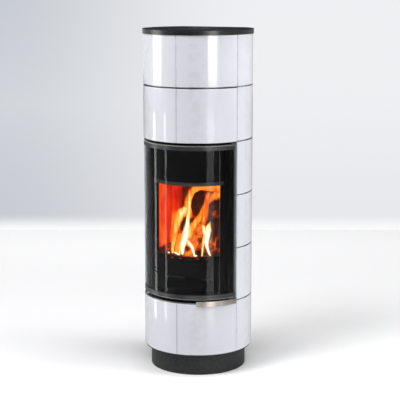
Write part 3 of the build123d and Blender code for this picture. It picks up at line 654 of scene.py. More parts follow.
@dataclass(frozen=True)
class HemmedSheet(Finish):
    """Black sheet with a painted highlight: a lighter grey band along its rolled lower hem."""

    name: str = "hemmed_sheet"
    sheet: Colour = (0.0025, 0.0025, 0.0027)
    # Painted highlight: the lighter greys of the band along the lower hem.
    hem: Colour = (0.16, 0.17, 0.18)
    hem_patch: Colour = (0.10, 0.105, 0.11)
    hem_height: float = 0.0165
    fade: float = 0.001

    def paint(self, shader: Shader, effects: Effects) -> None:
        """Paints the sheet black down to the painted highlight on its hem.

        Args:
            shader: The finish under construction.
            effects: The shared effects.
        """
        hem_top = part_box("air_deflector")[0].z + self.hem_height
        height = shader.split(shader.object_place())[2]
        # Painted highlight: the hem band is lighter grey than the black sheet.
        hem_highlight = shader.effect(effects.mottle, Colour=self.hem, Patch_Colour=self.hem_patch, Scale=20.0)
        on_hem = shader.remap(height, hem_top + self.fade, hem_top - self.fade)
        scale = shader.effect(effects.relief, Scale=500.0, Depth=0.0001, Strength=0.3)
        shader.set(Base_Color=shader.mix(on_hem, self.sheet, hem_highlight.outputs["Colour"]), Roughness=0.5)
        shader.set(Specular_IOR_Level=0.1, Normal=scale.outputs["Normal"])


@dataclass(frozen=True)
class BareSteel(Finish):
    """Uncoated sheet or turned steel with a brushed or rolled grain."""

    colour: Colour
    stain: Colour
    across: float = 30.0
    grain: float = 50.0
    low: float = 0.22
    high: float = 0.45

    def paint(self, shader: Shader, effects: Effects) -> None:
        """Brushes the metal and stains it along the grain.

        Args:
            shader: The finish under construction.
            effects: The shared effects.
        """
        tones = {"Colour": self.colour, "Patch_Colour": self.stain}
        stain = shader.effect(effects.mottle, **tones, Scale=14.0, Contrast=0.9)
        rough = {"Low_Roughness": self.low, "High_Roughness": self.high}
        brush = shader.effect(effects.brushed, Scale=self.grain, Across=self.across, **rough)
        streak = shader.remap(brush.outputs["Grain"], 0.3, 0.7)
        shader.set(Base_Color=shader.mix(streak, stain.outputs["Colour"], self.stain), Metallic=1.0)
        shader.set(Roughness=brush.outputs["Roughness"], Normal=brush.outputs["Normal"])


@dataclass(frozen=True)
class CastIron(Finish):
    """Cast iron with the sand of its mould still in its skin."""

    colour: Colour = (0.035, 0.034, 0.036)
    patch: Colour = (0.07, 0.062, 0.056)
    rubbed: Colour = (0.2, 0.2, 0.21)
    roughness: float = 0.62

    def paint(self, shader: Shader, effects: Effects) -> None:
        """Gives the iron its cast skin and its rubbed edges.

        Args:
            shader: The finish under construction.
            effects: The shared effects.
        """
        tones = {"Colour": self.colour, "Patch_Colour": self.patch}
        skin_tone = shader.effect(effects.mottle, **tones, Scale=32.0, Contrast=0.9)
        sand = shader.effect(effects.relief, Scale=420.0, Depth=0.0004, Strength=0.7)
        worn = shader.effect(effects.worn_edge, Width=0.6, Break_Up=90.0)
        colour = shader.mix(worn.outputs["Mask"], skin_tone.outputs["Colour"], self.rubbed)
        shader.set(Base_Color=colour, Metallic=0.35, Roughness=self.roughness, Normal=sand.outputs["Normal"])


@dataclass(frozen=True)
class Stone(Finish):
    """A dense cast or sawn stone with pale veins."""

    colour: Colour = (0.16, 0.165, 0.16)
    vein: Colour = (0.34, 0.35, 0.34)
    settled: Colour = (0.45, 0.44, 0.42)

    def paint(self, shader: Shader, effects: Effects) -> None:
        """Veins the stone and lets dust settle on it.

        Args:
            shader: The finish under construction.
            effects: The shared effects.
        """
        tones = {"Colour": self.colour, "Patch_Colour": self.vein}
        veins = shader.effect(effects.mottle, **tones, Scale=16.0, Contrast=0.7)
        grain = shader.effect(effects.relief, Scale=300.0, Depth=0.0005, Strength=0.5)
        dust = shader.effect(effects.dust, Amount=0.3, Scale=40.0)
        colour = shader.mix(dust.outputs["Mask"], veins.outputs["Colour"], self.settled)
        shader.set(Base_Color=colour, Roughness=0.8, Normal=grain.outputs["Normal"])


@dataclass(frozen=True)
class FirelitBoard(Finish):
    """Fire-resistant lining board, heated by the fire in front of it; its glow is painted firelight, the
    fire's light falling on it.
    """

    board: Colour = (0.10, 0.055, 0.03)
    soot: Colour = (0.02, 0.008, 0.005)
    side_wall: float = -0.161
    corner_end: float = -0.109
    back_wall: float = 0.135
    hearth: float = 0.58
    # The strength of the painted firelight.
    glow: float = 1.0

    def paint(self, shader: Shader, effects: Effects) -> None:
        """Soots the board and paints the fire's light on it as a glow.

        Args:
            shader: The finish under construction.
            effects: The shared effects.
        """
        tones = {"Colour": self.board, "Patch_Colour": self.soot}
        face = shader.effect(effects.mottle, **tones, Scale=18.0, Contrast=0.8)
        grain = shader.effect(effects.relief, Scale=350.0, Depth=0.0004, Strength=0.5)
        colour = shader.ramp(
            self._heat(shader),
            (0.0, (0.006, 0.0006, 0.0)),
            (0.2, (0.09, 0.004, 0.0)),
            (0.45, (0.62, 0.008, 0.0)),
            (0.70, (1.0, 0.045, 0.001)),
            (1.0, (1.0, 0.26, 0.008)),
        )
        shader.set(Base_Color=face.outputs["Colour"], Roughness=0.9, Normal=grain.outputs["Normal"])
        # Painted firelight: the emission stands in for the fire's light falling on the board.
        shader.set(Emission_Color=colour, Emission_Strength=self.glow)

    def _heat(self, shader: Shader) -> bpy.types.NodeSocket:
        """Where the painted firelight falls: on the fire's left, in the corner there and behind the fire.

        Args:
            shader: The finish under construction.

        Returns:
            How strongly the firelight is painted, 0 to 1, streaked upwards and stirred by clouds.
        """
        x, y, z = shader.split(shader.object_place())
        on_side = shader.remap(x, self.side_wall + 0.010, self.side_wall + 0.003)
        side = shader.math("MULTIPLY", on_side, shader.remap(y, 0.0, -0.06, 0.50, 0.74))
        fading = shader.remap(x, self.side_wall + 0.008, self.side_wall + 0.046, 0.50, 0.17)
        low = shader.remap(z, self.hearth + 0.21, self.hearth + 0.12, 0.0, 0.5)
        corner = shader.math("MULTIPLY", shader.math("MAXIMUM", fading, low), shader.remap(x, -0.02, -0.11))
        on_back = shader.remap(y, self.back_wall - 0.012, self.back_wall - 0.002)
        behind = shader.math("MULTIPLY", on_back, shader.remap(x, self.corner_end, -0.03, 0.2, 0.55))
        heat = shader.math("MAXIMUM", shader.math("MAXIMUM", side, corner), behind)
        streaks = shader.remap(shader.clouds(shader.drawn_out(0.07), 62.0, detail=2.0), 0.35, 0.65, -0.5, 0.5)
        clouds = shader.remap(shader.clouds(shader.drawn_out(0.6), 15.0, detail=2.0), 0.3, 0.7, -0.5, 0.5)
        stir = shader.math("MULTIPLY_ADD", clouds, 0.20, shader.math("MULTIPLY", streaks, 0.26))
        heat = shader.math("MULTIPLY_ADD", stir, shader.remap(heat, 0.1, 0.6, 0.2, 1.0), heat)
        over_hearth = shader.remap(z, self.hearth, self.hearth + 0.02, 0.15, 1.0)
        return shader.math("MULTIPLY", heat, over_hearth, clamp=True)


@dataclass(frozen=True)
class HeatProofGlass(Finish):
    """A clear glass-ceramic pane with a faint smoky tint and a thin, patchy film of soot."""

    name: str = "door_glass"
    tint: Colour = (0.95, 0.95, 0.955)
    film: Colour = (0.92, 0.92, 0.935)
    refraction: float = 1.25

    def paint(self, shader: Shader, effects: Effects) -> None:
        """Tints the clear pane and lays the film on it.

        Args:
            shader: The finish under construction.
            effects: The shared effects.
        """
        tones = {"Colour": self.tint, "Patch_Colour": self.film}
        film = shader.effect(effects.mottle, **tones, Scale=11.0, Stretch=3.0, Contrast=0.6)
        shader.set(Base_Color=film.outputs["Colour"], Roughness=0.0)
        shader.set(IOR=self.refraction, Transmission_Weight=1.0)


@dataclass(frozen=True)
class Rope(Finish):
    """Braided glass-fibre rope, dark and a little shiny."""

    name: str = "rope_seal"
    fibre: Colour = (0.045, 0.043, 0.042)
    worn: Colour = (0.13, 0.125, 0.12)

    def paint(self, shader: Shader, effects: Effects) -> None:
        """Gives the rope its fibres and a little sheen.

        Args:
            shader: The finish under construction.
            effects: The shared effects.
        """
        tones = {"Colour": self.fibre, "Patch_Colour": self.worn}
        lay = shader.effect(effects.mottle, **tones, Scale=160.0, Contrast=0.7)
        hairs = shader.effect(effects.relief, Scale=2200.0, Depth=0.0003, Strength=0.6)
        shader.set(Base_Color=lay.outputs["Colour"], Roughness=0.75, Normal=hairs.outputs["Normal"])
        shader.set(Sheen_Weight=0.3, Sheen_Roughness=0.5)


@dataclass(frozen=True)
class Flame(Finish):
    """Burning gas: its heat is written on the mesh, and only its glow is seen."""

    name: str = "flame"
    brightness: float = 1.25

    def paint(self, shader: Shader, effects: Effects) -> None:
        """Colours and covers the flame by the heat and cover on its mesh.

        Args:
            shader: The finish under construction.
            effects: The shared effects, of which a flame has none.
        """
        heat = shader.add("ShaderNodeAttribute", attribute_name=HEAT).outputs["Fac"]
        cover = shader.add("ShaderNodeAttribute", attribute_name=COVER).outputs["Fac"]
        lick = shader.remap(shader.clouds(shader.drawn_out(0.13), 95.0, detail=2.0), 0.3, 0.7, -0.5, 0.5)
        colour = shader.ramp(
            shader.math("MULTIPLY_ADD", lick, 0.22, heat),
            (0.0, (0.10, 0.002, 0.0)),
            (0.25, (0.55, 0.03, 0.001)),
            (0.45, (1.0, 0.17, 0.006)),
            (0.65, (1.0, 0.38, 0.04)),
            (0.82, (1.0, 0.72, 0.22)),
            (1.0, (1.0, 0.97, 0.82)),
        )
        thin = shader.math("MULTIPLY_ADD", lick, 0.35, cover)
        shader.set(Base_Color=(0.0, 0.0, 0.0), Specular_IOR_Level=0.0, Roughness=1.0)
        shader.set(Emission_Color=colour, Emission_Strength=self.brightness)
        shader.set(Alpha=shader.remap(thin, 0.08, 0.80))


@dataclass(frozen=True)
class BurningWood(Finish):
    """Charred wood: blocky char whose gaps and hollows glow."""

    char: Colour = (0.014, 0.006, 0.004)
    brown: Colour = (0.09, 0.022, 0.009)
    ember: Colour = (1.0, 0.15, 0.008)
    glow: float = 0.5
    reach: float = 0.5
    scale: float = 90.0
    evenness: float = 0.22
    bend: float = 0.035

    def paint(self, shader: Shader, effects: Effects) -> None:
        """Chars the wood and lights its gaps.

        Args:
            shader: The finish under construction.
            effects: The shared effects.
        """
        tones = {"Colour": self.char, "Patch_Colour": self.brown}
        face = shader.effect(effects.mottle, **tones, Scale=45.0, Contrast=0.9)
        relief = shader.effect(effects.relief, Scale=260.0, Depth=0.0012, Strength=0.8)
        colour = shader.ramp(
            self._heat(shader),
            (0.0, (0.02, 0.0006, 0.0)),
            (0.35, (0.36, 0.016, 0.001)),
            (0.75, self.ember),
            (1.0, (1.0, 0.42, 0.07)),
        )
        shader.set(Base_Color=face.outputs["Colour"], Roughness=0.9, Normal=relief.outputs["Normal"])
        shader.set(Emission_Color=colour, Emission_Strength=self.glow)

    def _heat(self, shader: Shader) -> bpy.types.NodeSocket:
        """Where the wood glows: in its gaps, and wherever a cloud of heat lies on it.

        Args:
            shader: The finish under construction.

        Returns:
            The heat, 0 to 1.
        """
        here = shader.object_place()
        inputs = {"Vector": here, "Scale": 30.0, "Detail": 3.0}
        bent = shader.add("ShaderNodeTexNoise", inputs).outputs["Color"]
        warped = shader.vector("ADD", here, shader.vector("MULTIPLY", bent, (self.bend,) * 3))
        inputs = {"Vector": warped, "Scale": self.scale, "Randomness": 1.0}
        cells = shader.add("ShaderNodeTexVoronoi", inputs, feature="F1").outputs["Distance"]
        pitted = shader.clouds(warped, self.scale * 1.7, detail=5.0, roughness=0.65)
        between = shader.remap(cells, 0.15, 0.85, 0.35, 1.0)
        gaps = shader.math("MULTIPLY", between, shader.remap(pitted, 0.35, 0.62))
        cloud = shader.clouds(here, 24.0, detail=4.0)
        hot = shader.remap(cloud, 0.66 - 0.42 * self.reach, 0.80 - 0.30 * self.reach)
        spread = shader.math("MULTIPLY_ADD", gaps, 0.97 - self.evenness, self.evenness)
        return shader.math("MULTIPLY", hot, spread, clamp=True)


class Finishes:
    """Every finish of the stove by its material slot, made once."""

    kinds: tuple[Finish, ...] = (
        GlazedTile(),
        Paint(
            "lid_paint",
            (0.014, 0.0143, 0.015),
            (0.016, 0.0163, 0.017),
            rubbed=(0.03, 0.03, 0.032),
            roughness=0.30,
            peel=0.00002,
            dust=0.01,
            specular=0.4,
        ),
        Paint(
            "plinth_paint",
            (0.021, 0.021, 0.022),
            (0.025, 0.025, 0.026),
            rubbed=(0.04, 0.04, 0.042),
            peel=0.00003,
            dust=0.02,
            specular=0.3,
        ),
        Paint(
            "back_paint",
            (0.038, 0.038, 0.040),
            (0.043, 0.043, 0.045),
            rubbed=(0.048, 0.048, 0.05),
            peel=0.0002,
            dust=0.03,
        ),
        Paint(
            "stove_black",
            (0.0025, 0.0025, 0.0027),
            (0.0035, 0.0033, 0.0033),
            rubbed=(0.006, 0.006, 0.006),
            roughness=0.55,
            dust=0.0,
            specular=0.06,
        ),
        Paint(
            "pan_steel",
            (0.003, 0.003, 0.003),
            (0.004, 0.0038, 0.0036),
            rubbed=(0.02, 0.02, 0.02),
            specular=0.08,
        ),
        RailPaint(
            "door_paint",
            (0.020, 0.020, 0.023),
            (0.022, 0.022, 0.025),
            rubbed=(0.045, 0.045, 0.05),
            roughness=0.30,
            peel=0.00002,
            dust=0.0,
            specular=0.45,
        ),
        HemmedSheet(),
        BareSteel("frame_steel", (0.42, 0.43, 0.44), (0.30, 0.31, 0.32), across=2.0, grain=30.0),
        BareSteel("flue_steel", (0.10, 0.095, 0.09), (0.06, 0.055, 0.05), across=8.0, low=0.4, high=0.6),
        BareSteel("pin_steel", (0.52, 0.52, 0.53), (0.40, 0.40, 0.41), across=20.0, grain=120.0),
        BareSteel(
            "brushed_steel",
            (0.40, 0.365, 0.335),
            (0.28, 0.25, 0.225),
            across=55.0,
            grain=26.0,
            low=0.2,
            high=0.34,
        ),
        BareSteel("damper_steel", (0.45, 0.45, 0.46), (0.33, 0.33, 0.34), across=14.0, grain=60.0),
        CastIron("cast_collar"),
        CastIron("cast_grate", colour=(0.05, 0.03, 0.022), patch=(0.13, 0.05, 0.025)),
        FirelitBoard("lining_board"),
        Stone("storage_stone"),
        HeatProofGlass(),
        Rope(),
        Flame(),
        BurningWood("charred_bark", glow=0.6, reach=0.35, scale=110.0),
        BurningWood("warm_bark", glow=0.8, reach=0.7, scale=110.0, brown=(0.2, 0.05, 0.02)),
        BurningWood("bright_bark", glow=1.1, reach=1.1, scale=100.0, evenness=0.5),
        BurningWood("charred_end", glow=0.5, reach=0.2, scale=90.0),
        BurningWood("ember", glow=0.9, reach=0.6, scale=150.0),
    )

    def __init__(self) -> None:
        """Makes every finish."""
        effects = Effects()
        self._made = {kind.name: kind.build(effects) for kind in self.kinds}

    def __getitem__(self, name: str) -> bpy.types.Material:
        """The material of a slot."""
        return self._made[name]


# ------------------------------------------------------------------ sub-assemblies


def baked(source: bpy.types.Object, tree: bpy.types.NodeTree, values: dict[str, Any]) -> bpy.types.Object:
    """Runs a geometry node tree on an object and keeps the result as its plain mesh.

    Args:
        source: The object that the tree starts from.
        tree: The geometry node tree.
        values: The tree's inputs by name.

    Returns:
        The same object, without a modifier.
    """
    modifier = source.modifiers.new("shape", "NODES")
    modifier.node_group = tree
    for item in tree.interface.items_tree:
        if item.in_out == "INPUT" and item.name in values:
            modifier[item.identifier] = values[item.name]
    evaluated = source.evaluated_get(bpy.context.evaluated_depsgraph_get())
    mesh = bpy.data.meshes.new_from_object(evaluated)
    source.modifiers.clear()
    old = source.data
    source.data = mesh
    bpy.data.meshes.remove(old)
    return source


def wire(name: str, points: Sequence[Vector], closed: bool) -> bpy.types.Object:
    """Makes an object of bare points for a geometry node tree to start from.

    Args:
        name: The object's name.
        points: The points.
        closed: Whether edges join them into a loop.

    Returns:
        The object.
    """
    count = len(points)
    edges = [(index, (index + 1) % count) for index in range(count)] if closed else []
    mesh = bpy.data.meshes.new(name)
    mesh.from_pydata([tuple(point) for point in points], edges, [])
    return link_mesh(name, mesh)


@dataclass
class SubAssembly:
    """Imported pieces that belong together, and the small pieces that are made for them here."""

    label: str
    nodes: tuple[str, ...]
    own_finish: dict[str, str] = field(default_factory=dict)

    def build(self, finishes: Finishes) -> list[bpy.types.Object]:
        """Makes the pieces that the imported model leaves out, of which most have none."""
        return []

    def dress(self, frame: dict[str, Any], finishes: Finishes) -> int:
        """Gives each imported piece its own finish, or else that of its material slot.

        Args:
            frame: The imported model.
            finishes: The stove's finishes.

        Returns:
            How many pieces were dressed.
        """
        slots = {part["node"]: part["material_slot"] for part in frame["record"]["subparts"]}
        mine = [name for name in frame["nodes"] if name.startswith(self.nodes)]
        for name in mine:
            materials = frame["nodes"][name].data.materials
            materials.clear()
            materials.append(finishes[self.own_finish.get(name, slots[name])])
        return len(mine)


@dataclass
class Carcass(SubAssembly):
    """The plinth, the base plate and the screwed back panel."""

    label: str = "carcass"
    nodes: tuple[str, ...] = ("plinth_", "base_plate", "back_panel")
    head_radius: float = 0.0048
    head_height: float = 0.0026
    socket_share: float = 0.52
    socket_depth: float = 0.0018
    screws_a_side: int = 7
    edge_inset: float = 0.014
    end_inset: float = 0.055

    @staticmethod
    def screw_tree() -> bpy.types.NodeTree:
        """Builds the tree that puts a socket screw's head on each point.

        Returns:
            The tree.
        """
        tree, given, out = new_group(
            "GeometryNodeTree",
            "socket_screws",
            [
                ("Geometry", SocketKind.GEOMETRY, None),
                ("Head Radius", SocketKind.NUMBER, 0.005),
                ("Head Height", SocketKind.NUMBER, 0.0025),
                ("Socket Share", SocketKind.NUMBER, 0.5),
                ("Socket Depth", SocketKind.NUMBER, 0.0018),
                ("Facing", SocketKind.VECTOR, (-math.pi / 2, 0.0, 0.0)),
                ("Material", SocketKind.MATERIAL, None),
            ],
            [("Geometry", SocketKind.GEOMETRY)],
        )
        size = given.outputs
        inputs = {"Vertices": 18, "Radius": size["Head Radius"], "Depth": size["Head Height"]}
        head = tree.add("GeometryNodeMeshCylinder", inputs, fill_type="NGON").outputs
        inputs = {"Mesh": head["Mesh"], "Selection": head["Top"], "Offset Scale": 0.0, "Individual": False}
        inset = tree.add("GeometryNodeExtrudeMesh", inputs).outputs
        inputs = {"Geometry": inset["Mesh"], "Selection": inset["Top"], "Scale": size["Socket Share"]}
        rim = tree.add("GeometryNodeScaleElements", inputs).outputs["Geometry"]
        inward = tree.math("MULTIPLY", size["Socket Depth"], -1.0)
        inputs = {"Mesh": rim, "Selection": inset["Top"], "Offset Scale": inward, "Individual": False}
        screw = tree.add("GeometryNodeExtrudeMesh", inputs).outputs["Mesh"]
        inputs = {"Points": size["Geometry"], "Instance": screw, "Rotation": size["Facing"]}
        placed = tree.add("GeometryNodeInstanceOnPoints", inputs).outputs["Instances"]
        return end_shape(tree, out, placed, size["Material"])

    def build(self, finishes: Finishes) -> list[bpy.types.Object]:
        """Screws the back panel on along both of its edges.

        Args:
            finishes: The stove's finishes.

        Returns:
            The screws, as one piece.
        """
        low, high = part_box("back_panel")
        out = high.y + self.head_height / 2
        pitch = (high.z - low.z - 2 * self.end_inset) / (self.screws_a_side - 1)
        levels = [low.z + self.end_inset + pitch * row for row in range(self.screws_a_side)]
        across = (low.x + self.edge_inset, high.x - self.edge_inset)
        spots = [Vector((x, out, z)) for x in across for z in levels]
        screws = wire("back_panel_screws", spots, closed=False)
        values = {
            "Head Radius": self.head_radius,
            "Head Height": self.head_height,
            "Socket Share": self.socket_share,
            "Socket Depth": self.socket_depth,
            "Facing": (-math.pi / 2, 0.0, 0.0),
            "Material": finishes["pin_steel"],
        }
        baked(screws, self.screw_tree(), values)
        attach(screws, "root")
        return [screws]


@dataclass
class AirSupply(SubAssembly):
    """The air box with its inlet and its damper."""

    label: str = "air supply"
    nodes: tuple[str, ...] = ("air_box", "air_inlet", "air_damper")


@dataclass
class AshDrawer(SubAssembly):
    """The ash pan and the runners that it slides on."""

    label: str = "ash drawer"
    nodes: tuple[str, ...] = ("ash_pan", "ash_runners")


@dataclass
class FireBody(SubAssembly):
    """The welded body with its linings, hearth, grate and baffles, and what the door hangs on."""

    label: str = "fire body"
    nodes: tuple[str, ...] = (
        "casing_walls",
        "body_floor",
        "crown_plate",
        "front_frame",
        "door_jambs",
        "log_guard",
        "air_deflector",
        "hearth_",
        "lining_",
        "lower_baffle",
        "upper_baffle",
        "grate",
        "hinge_brackets",
        "latch_keeper",
    )
    own_finish: dict[str, str] = field(default_factory=lambda: {"air_deflector": "hemmed_sheet"})


@dataclass
class HeatStore(SubAssembly):
    """The heavy blocks over the fire and the shelf that carries them."""

    label: str = "heat store"
    nodes: tuple[str, ...] = ("storage_stones", "stone_shelf")


@dataclass
class Lid(SubAssembly):
    """The top plate with the flue's collar and pipe."""

    label: str = "lid"
    nodes: tuple[str, ...] = ("top_plate", "flue_collar", "flue_pipe")


@dataclass
class Cladding(SubAssembly):
    """The glazed tiles, what carries them and the lintel over the door."""

    label: str = "cladding"
    nodes: tuple[str, ...] = ("tile_", "lintel")


@dataclass
class Door(SubAssembly):
    """The bent glass between its rails, its grip and the braided rope that seals it."""

    label: str = "door"
    nodes: tuple[str, ...] = ("door_rail_", "door_stiles", "door_glass", "door_seal", "hinge_pins", "handle")
    own_finish: dict[str, str] = field(default_factory=lambda: {"door_stiles": "stove_black"})
    seal_radius: float = 0.236
    seal_half_angle: float = 60.75
    seal_size: float = 0.008
    corner_radius: float = 0.008
    lay_radius: float = 0.0022
    strand_radius: float = 0.00135
    weave: float = 0.00045
    strands_each_way: int = 3
    braid_turns: float = 105.0
    step: float = 0.0025
    corner_steps: int = 4
    edge_steps: int = 60

    def braid_tree(self) -> bpy.types.NodeTree:
        """Builds the tree that braids strands of both lays round a looped path.

        Returns:
            The tree.
        """
        tree, given, out = new_group(
            "GeometryNodeTree",
            "braided_rope",
            [
                ("Geometry", SocketKind.GEOMETRY, None),
                ("Step", SocketKind.NUMBER, 0.0025),
                ("Lay Radius", SocketKind.NUMBER, 0.002),
                ("Weave", SocketKind.NUMBER, 0.0005),
                ("Strand Radius", SocketKind.NUMBER, 0.0014),
                ("Turns", SocketKind.NUMBER, 100.0),
                ("Material", SocketKind.MATERIAL, None),
            ],
            [("Geometry", SocketKind.GEOMETRY)],
        )
        size = given.outputs
        loop = tree.add("GeometryNodeMeshToCurve", {"Mesh": size["Geometry"]}).outputs["Curve"]
        inputs = {"Curve": loop, "Length": size["Step"]}
        path = tree.add("GeometryNodeResampleCurve", inputs, mode="LENGTH").outputs["Curve"]
        share = tree.add("GeometryNodeSplineParameter").outputs["Factor"]
        turned = tree.math("MULTIPLY", share, tree.math("MULTIPLY", size["Turns"], math.tau))
        normal = tree.add("GeometryNodeInputNormal").outputs["Normal"]
        along = tree.add("GeometryNodeInputTangent").outputs["Tangent"]
        side = tree.vector("CROSS_PRODUCT", along, normal)
        over = tree.math("COSINE", tree.math("MULTIPLY", turned, float(self.strands_each_way)))
        lift = tree.math("MULTIPLY", over, size["Weave"])
        strands = tree.add("GeometryNodeJoinGeometry")
        for way in (1.0, -1.0):
            reach = tree.math("MULTIPLY_ADD", lift, way, size["Lay Radius"])
            for strand in range(self.strands_each_way):
                start = math.tau * strand / self.strands_each_way
                angle = tree.math("MULTIPLY_ADD", turned, way, start)
                outward = tree.scaled(normal, tree.math("MULTIPLY", reach, tree.math("COSINE", angle)))
                sideways = tree.scaled(side, tree.math("MULTIPLY", reach, tree.math("SINE", angle)))
                inputs = {"Geometry": path, "Offset": tree.vector("ADD", outward, sideways)}
                moved = tree.add("GeometryNodeSetPosition", inputs).outputs["Geometry"]
                tree.feed(strands.inputs[0], moved)
        inputs = {"Resolution": 6, "Radius": size["Strand Radius"]}
        section = tree.add("GeometryNodeCurvePrimitiveCircle", inputs).outputs["Curve"]
        inputs = {"Curve": strands.outputs[0], "Profile Curve": section}
        tube = tree.add("GeometryNodeCurveToMesh", inputs).outputs["Mesh"]
        return end_shape(tree, out, tube, size["Material"])

    def seal_path(self) -> list[Vector]:
        """The rope's centre line: a rounded rectangle wrapped round the door's inside.

        Returns:
            Its points, in order.
        """
        low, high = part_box("door_seal")
        inset = self.seal_size / 2 + self.corner_radius
        half = self.seal_radius * math.radians(self.seal_half_angle) - self.corner_radius
        top, bottom = high.z - inset, low.z + inset
        corners = ((half, top), (-half, top), (-half, bottom), (half, bottom))
        flat = []
        for index, (across, up) in enumerate(corners):
            for step in range(self.corner_steps + 1):
                turn = math.pi / 2 * (index + step / self.corner_steps)
                out = Vector((math.cos(turn), math.sin(turn))) * self.corner_radius
                flat.append((across + out.x, up + out.y))
            if index in (0, 2):
                level = up + (self.corner_radius if index == 0 else -self.corner_radius)
                pitch = (corners[index + 1][0] - across) / self.edge_steps
                flat += [(across + pitch * step, level) for step in range(1, self.edge_steps)]
        return [on_circle(across / self.seal_radius, self.seal_radius, up) for across, up in flat]

    def build(self, finishes: Finishes) -> list[bpy.types.Object]:
        """Lays the braided rope in the door's groove.

        Args:
            finishes: The stove's finishes.

        Returns:
            The rope.
        """
        rope = wire("seal_rope", self.seal_path(), closed=True)
        values = {
            "Step": self.step,
            "Lay Radius": self.lay_radius,
            "Weave": self.weave,
            "Strand Radius": self.strand_radius,
            "Turns": self.braid_turns,
            "Material": finishes["rope_seal"],
        }
        baked(rope, self.braid_tree(), values)
        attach(rope, "door")
        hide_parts("door_seal")
        return [rope]


# ------------------------------------------------------------------ fire


@dataclass(frozen=True)
class View:
    """The photographed direction, from which the camera looks and for which the flames are laid out."""

    azimuth: float = 22.7
    distance: float = 5.8
    height: float = 1.891
    aside: float = 0.0092
    pitch: float = 10.466
    focal_length: float = 107.91
    film: float = 36.0

    @property
    def to_camera(self) -> Vector:
        """The level direction from the stove's axis to the camera."""
        turn = math.radians(self.azimuth)
        return Vector((math.sin(turn), -math.cos(turn), 0.0))

    @property
    def to_right(self) -> Vector:
        """The level direction that points right in the picture."""
        turn = math.radians(self.azimuth)
        return Vector((math.cos(turn), math.sin(turn), 0.0))

    def place(self, across: float, up: float, away: float) -> Vector:
        """A point given in the picture's own directions.

        Args:
            across: To the right of the stove's axis.
            up: Height over the floor.
            away: Behind the axis, away from the camera.

        Returns:
            The point.
        """
        return self.to_right * across - self.to_camera * away + Vector((0.0, 0.0, up))

    def sighted(self, across: float, up: float, away: float, drawn: float = -0.05) -> Vector:
        """A point drawn on one upright plane and moved along its line of sight to another.

        Args:
            across: To the right of the stove's axis, on the drawn plane.
            up: Height over the floor, on the drawn plane.
            away: How far behind the axis the point is moved to.
            drawn: How far behind the axis the drawn plane lies.

        Returns:
            The point.
        """
        share = (self.distance + away) / (self.distance + drawn)
        return self.place(
            self.aside + (across - self.aside) * share, self.height + (up - self.height) * share, away
        )


@dataclass(frozen=True)
class Tongue:
    """One tongue of flame: stops of across, up and width in millimetres, then heat from 0 to 1."""

    name: str
    stops: tuple[tuple[float, float, float, float], ...]
    foot: float = -160.0
    tip: float = -80.0
    thickness: float = 9.0
    soft: float = 0.85
    body: float = 1.0
    rings: int = 40
    sides: int = 20

    def build(self, view: View, material: bpy.types.Material) -> bpy.types.Object:
        """Makes the tongue as a closed, lens-shaped ribbon.

        Args:
            view: The direction that the tongue faces.
            material: The flame.

        Returns:
            The piece, with its heat and cover on its points.
        """
        bm = bmesh.new()
        for layer in (HEAT, COVER):
            bm.verts.layers.float.new(layer)
        rows = [self._row(bm, view, ring / self.rings) for ring in range(self.rings + 1)]
        skin(bm, rows)
        bm.faces.new(rows[0][::-1])
        bm.faces.new(rows[-1])
        mesh = mesh_from(bm, self.name)
        mesh.materials.append(material)
        return link_mesh(self.name, mesh)

    def _row(self, bm: bmesh.types.BMesh, view: View, share: float) -> list[bmesh.types.BMVert]:
        """Makes one lens-shaped ring of the tongue.

        Args:
            bm: The geometry that gets the points.
            view: The direction that the tongue faces.
            share: How far from foot to tip, 0 to 1.

        Returns:
            The ring's points.
        """
        heat_layer, cover_layer = (bm.verts.layers.float[layer] for layer in (HEAT, COVER))
        across, up, width, heat = blend_along(self.stops, share)
        ahead = blend_along(self.stops, min(share + 0.01, 1.0))
        behind = blend_along(self.stops, max(share - 0.01, 0.0))
        along = Vector((ahead[0] - behind[0], ahead[1] - behind[1])).normalized()
        side = Vector((along.y, -along.x))
        closing = smooth(0.0, 0.04, share) * smooth(0.0, 0.10, 1.0 - share)
        half = 0.58 * width * max(closing, 0.02)
        deep = 0.5 * self.thickness * max(closing, 0.05)
        row = []
        for step in range(self.sides):
            turn = math.tau * step / self.sides
            edge, bulge = math.cos(turn), math.sin(turn)
            lean = 3.0 * noise.noise(Vector((share * 5.0, edge * 1.3, self.foot * 0.1)))
            away = self.foot + (self.tip - self.foot) * share + deep * bulge + lean
            flat = Vector((across, up)) + side * (half * edge)
            vertex = bm.verts.new(view.sighted(flat.x * MM, flat.y * MM, away * MM))
            vertex[heat_layer] = heat * (1.0 - 0.58 * abs(edge) ** 1.7)
            cover = self.body * (1.0 - smooth(1.0 - self.soft, 1.0, abs(edge)))
            vertex[cover_layer] = cover * smooth(0.0, 0.02, share) * smooth(0.0, 0.28, 1.0 - share)
            row.append(vertex)
        return row


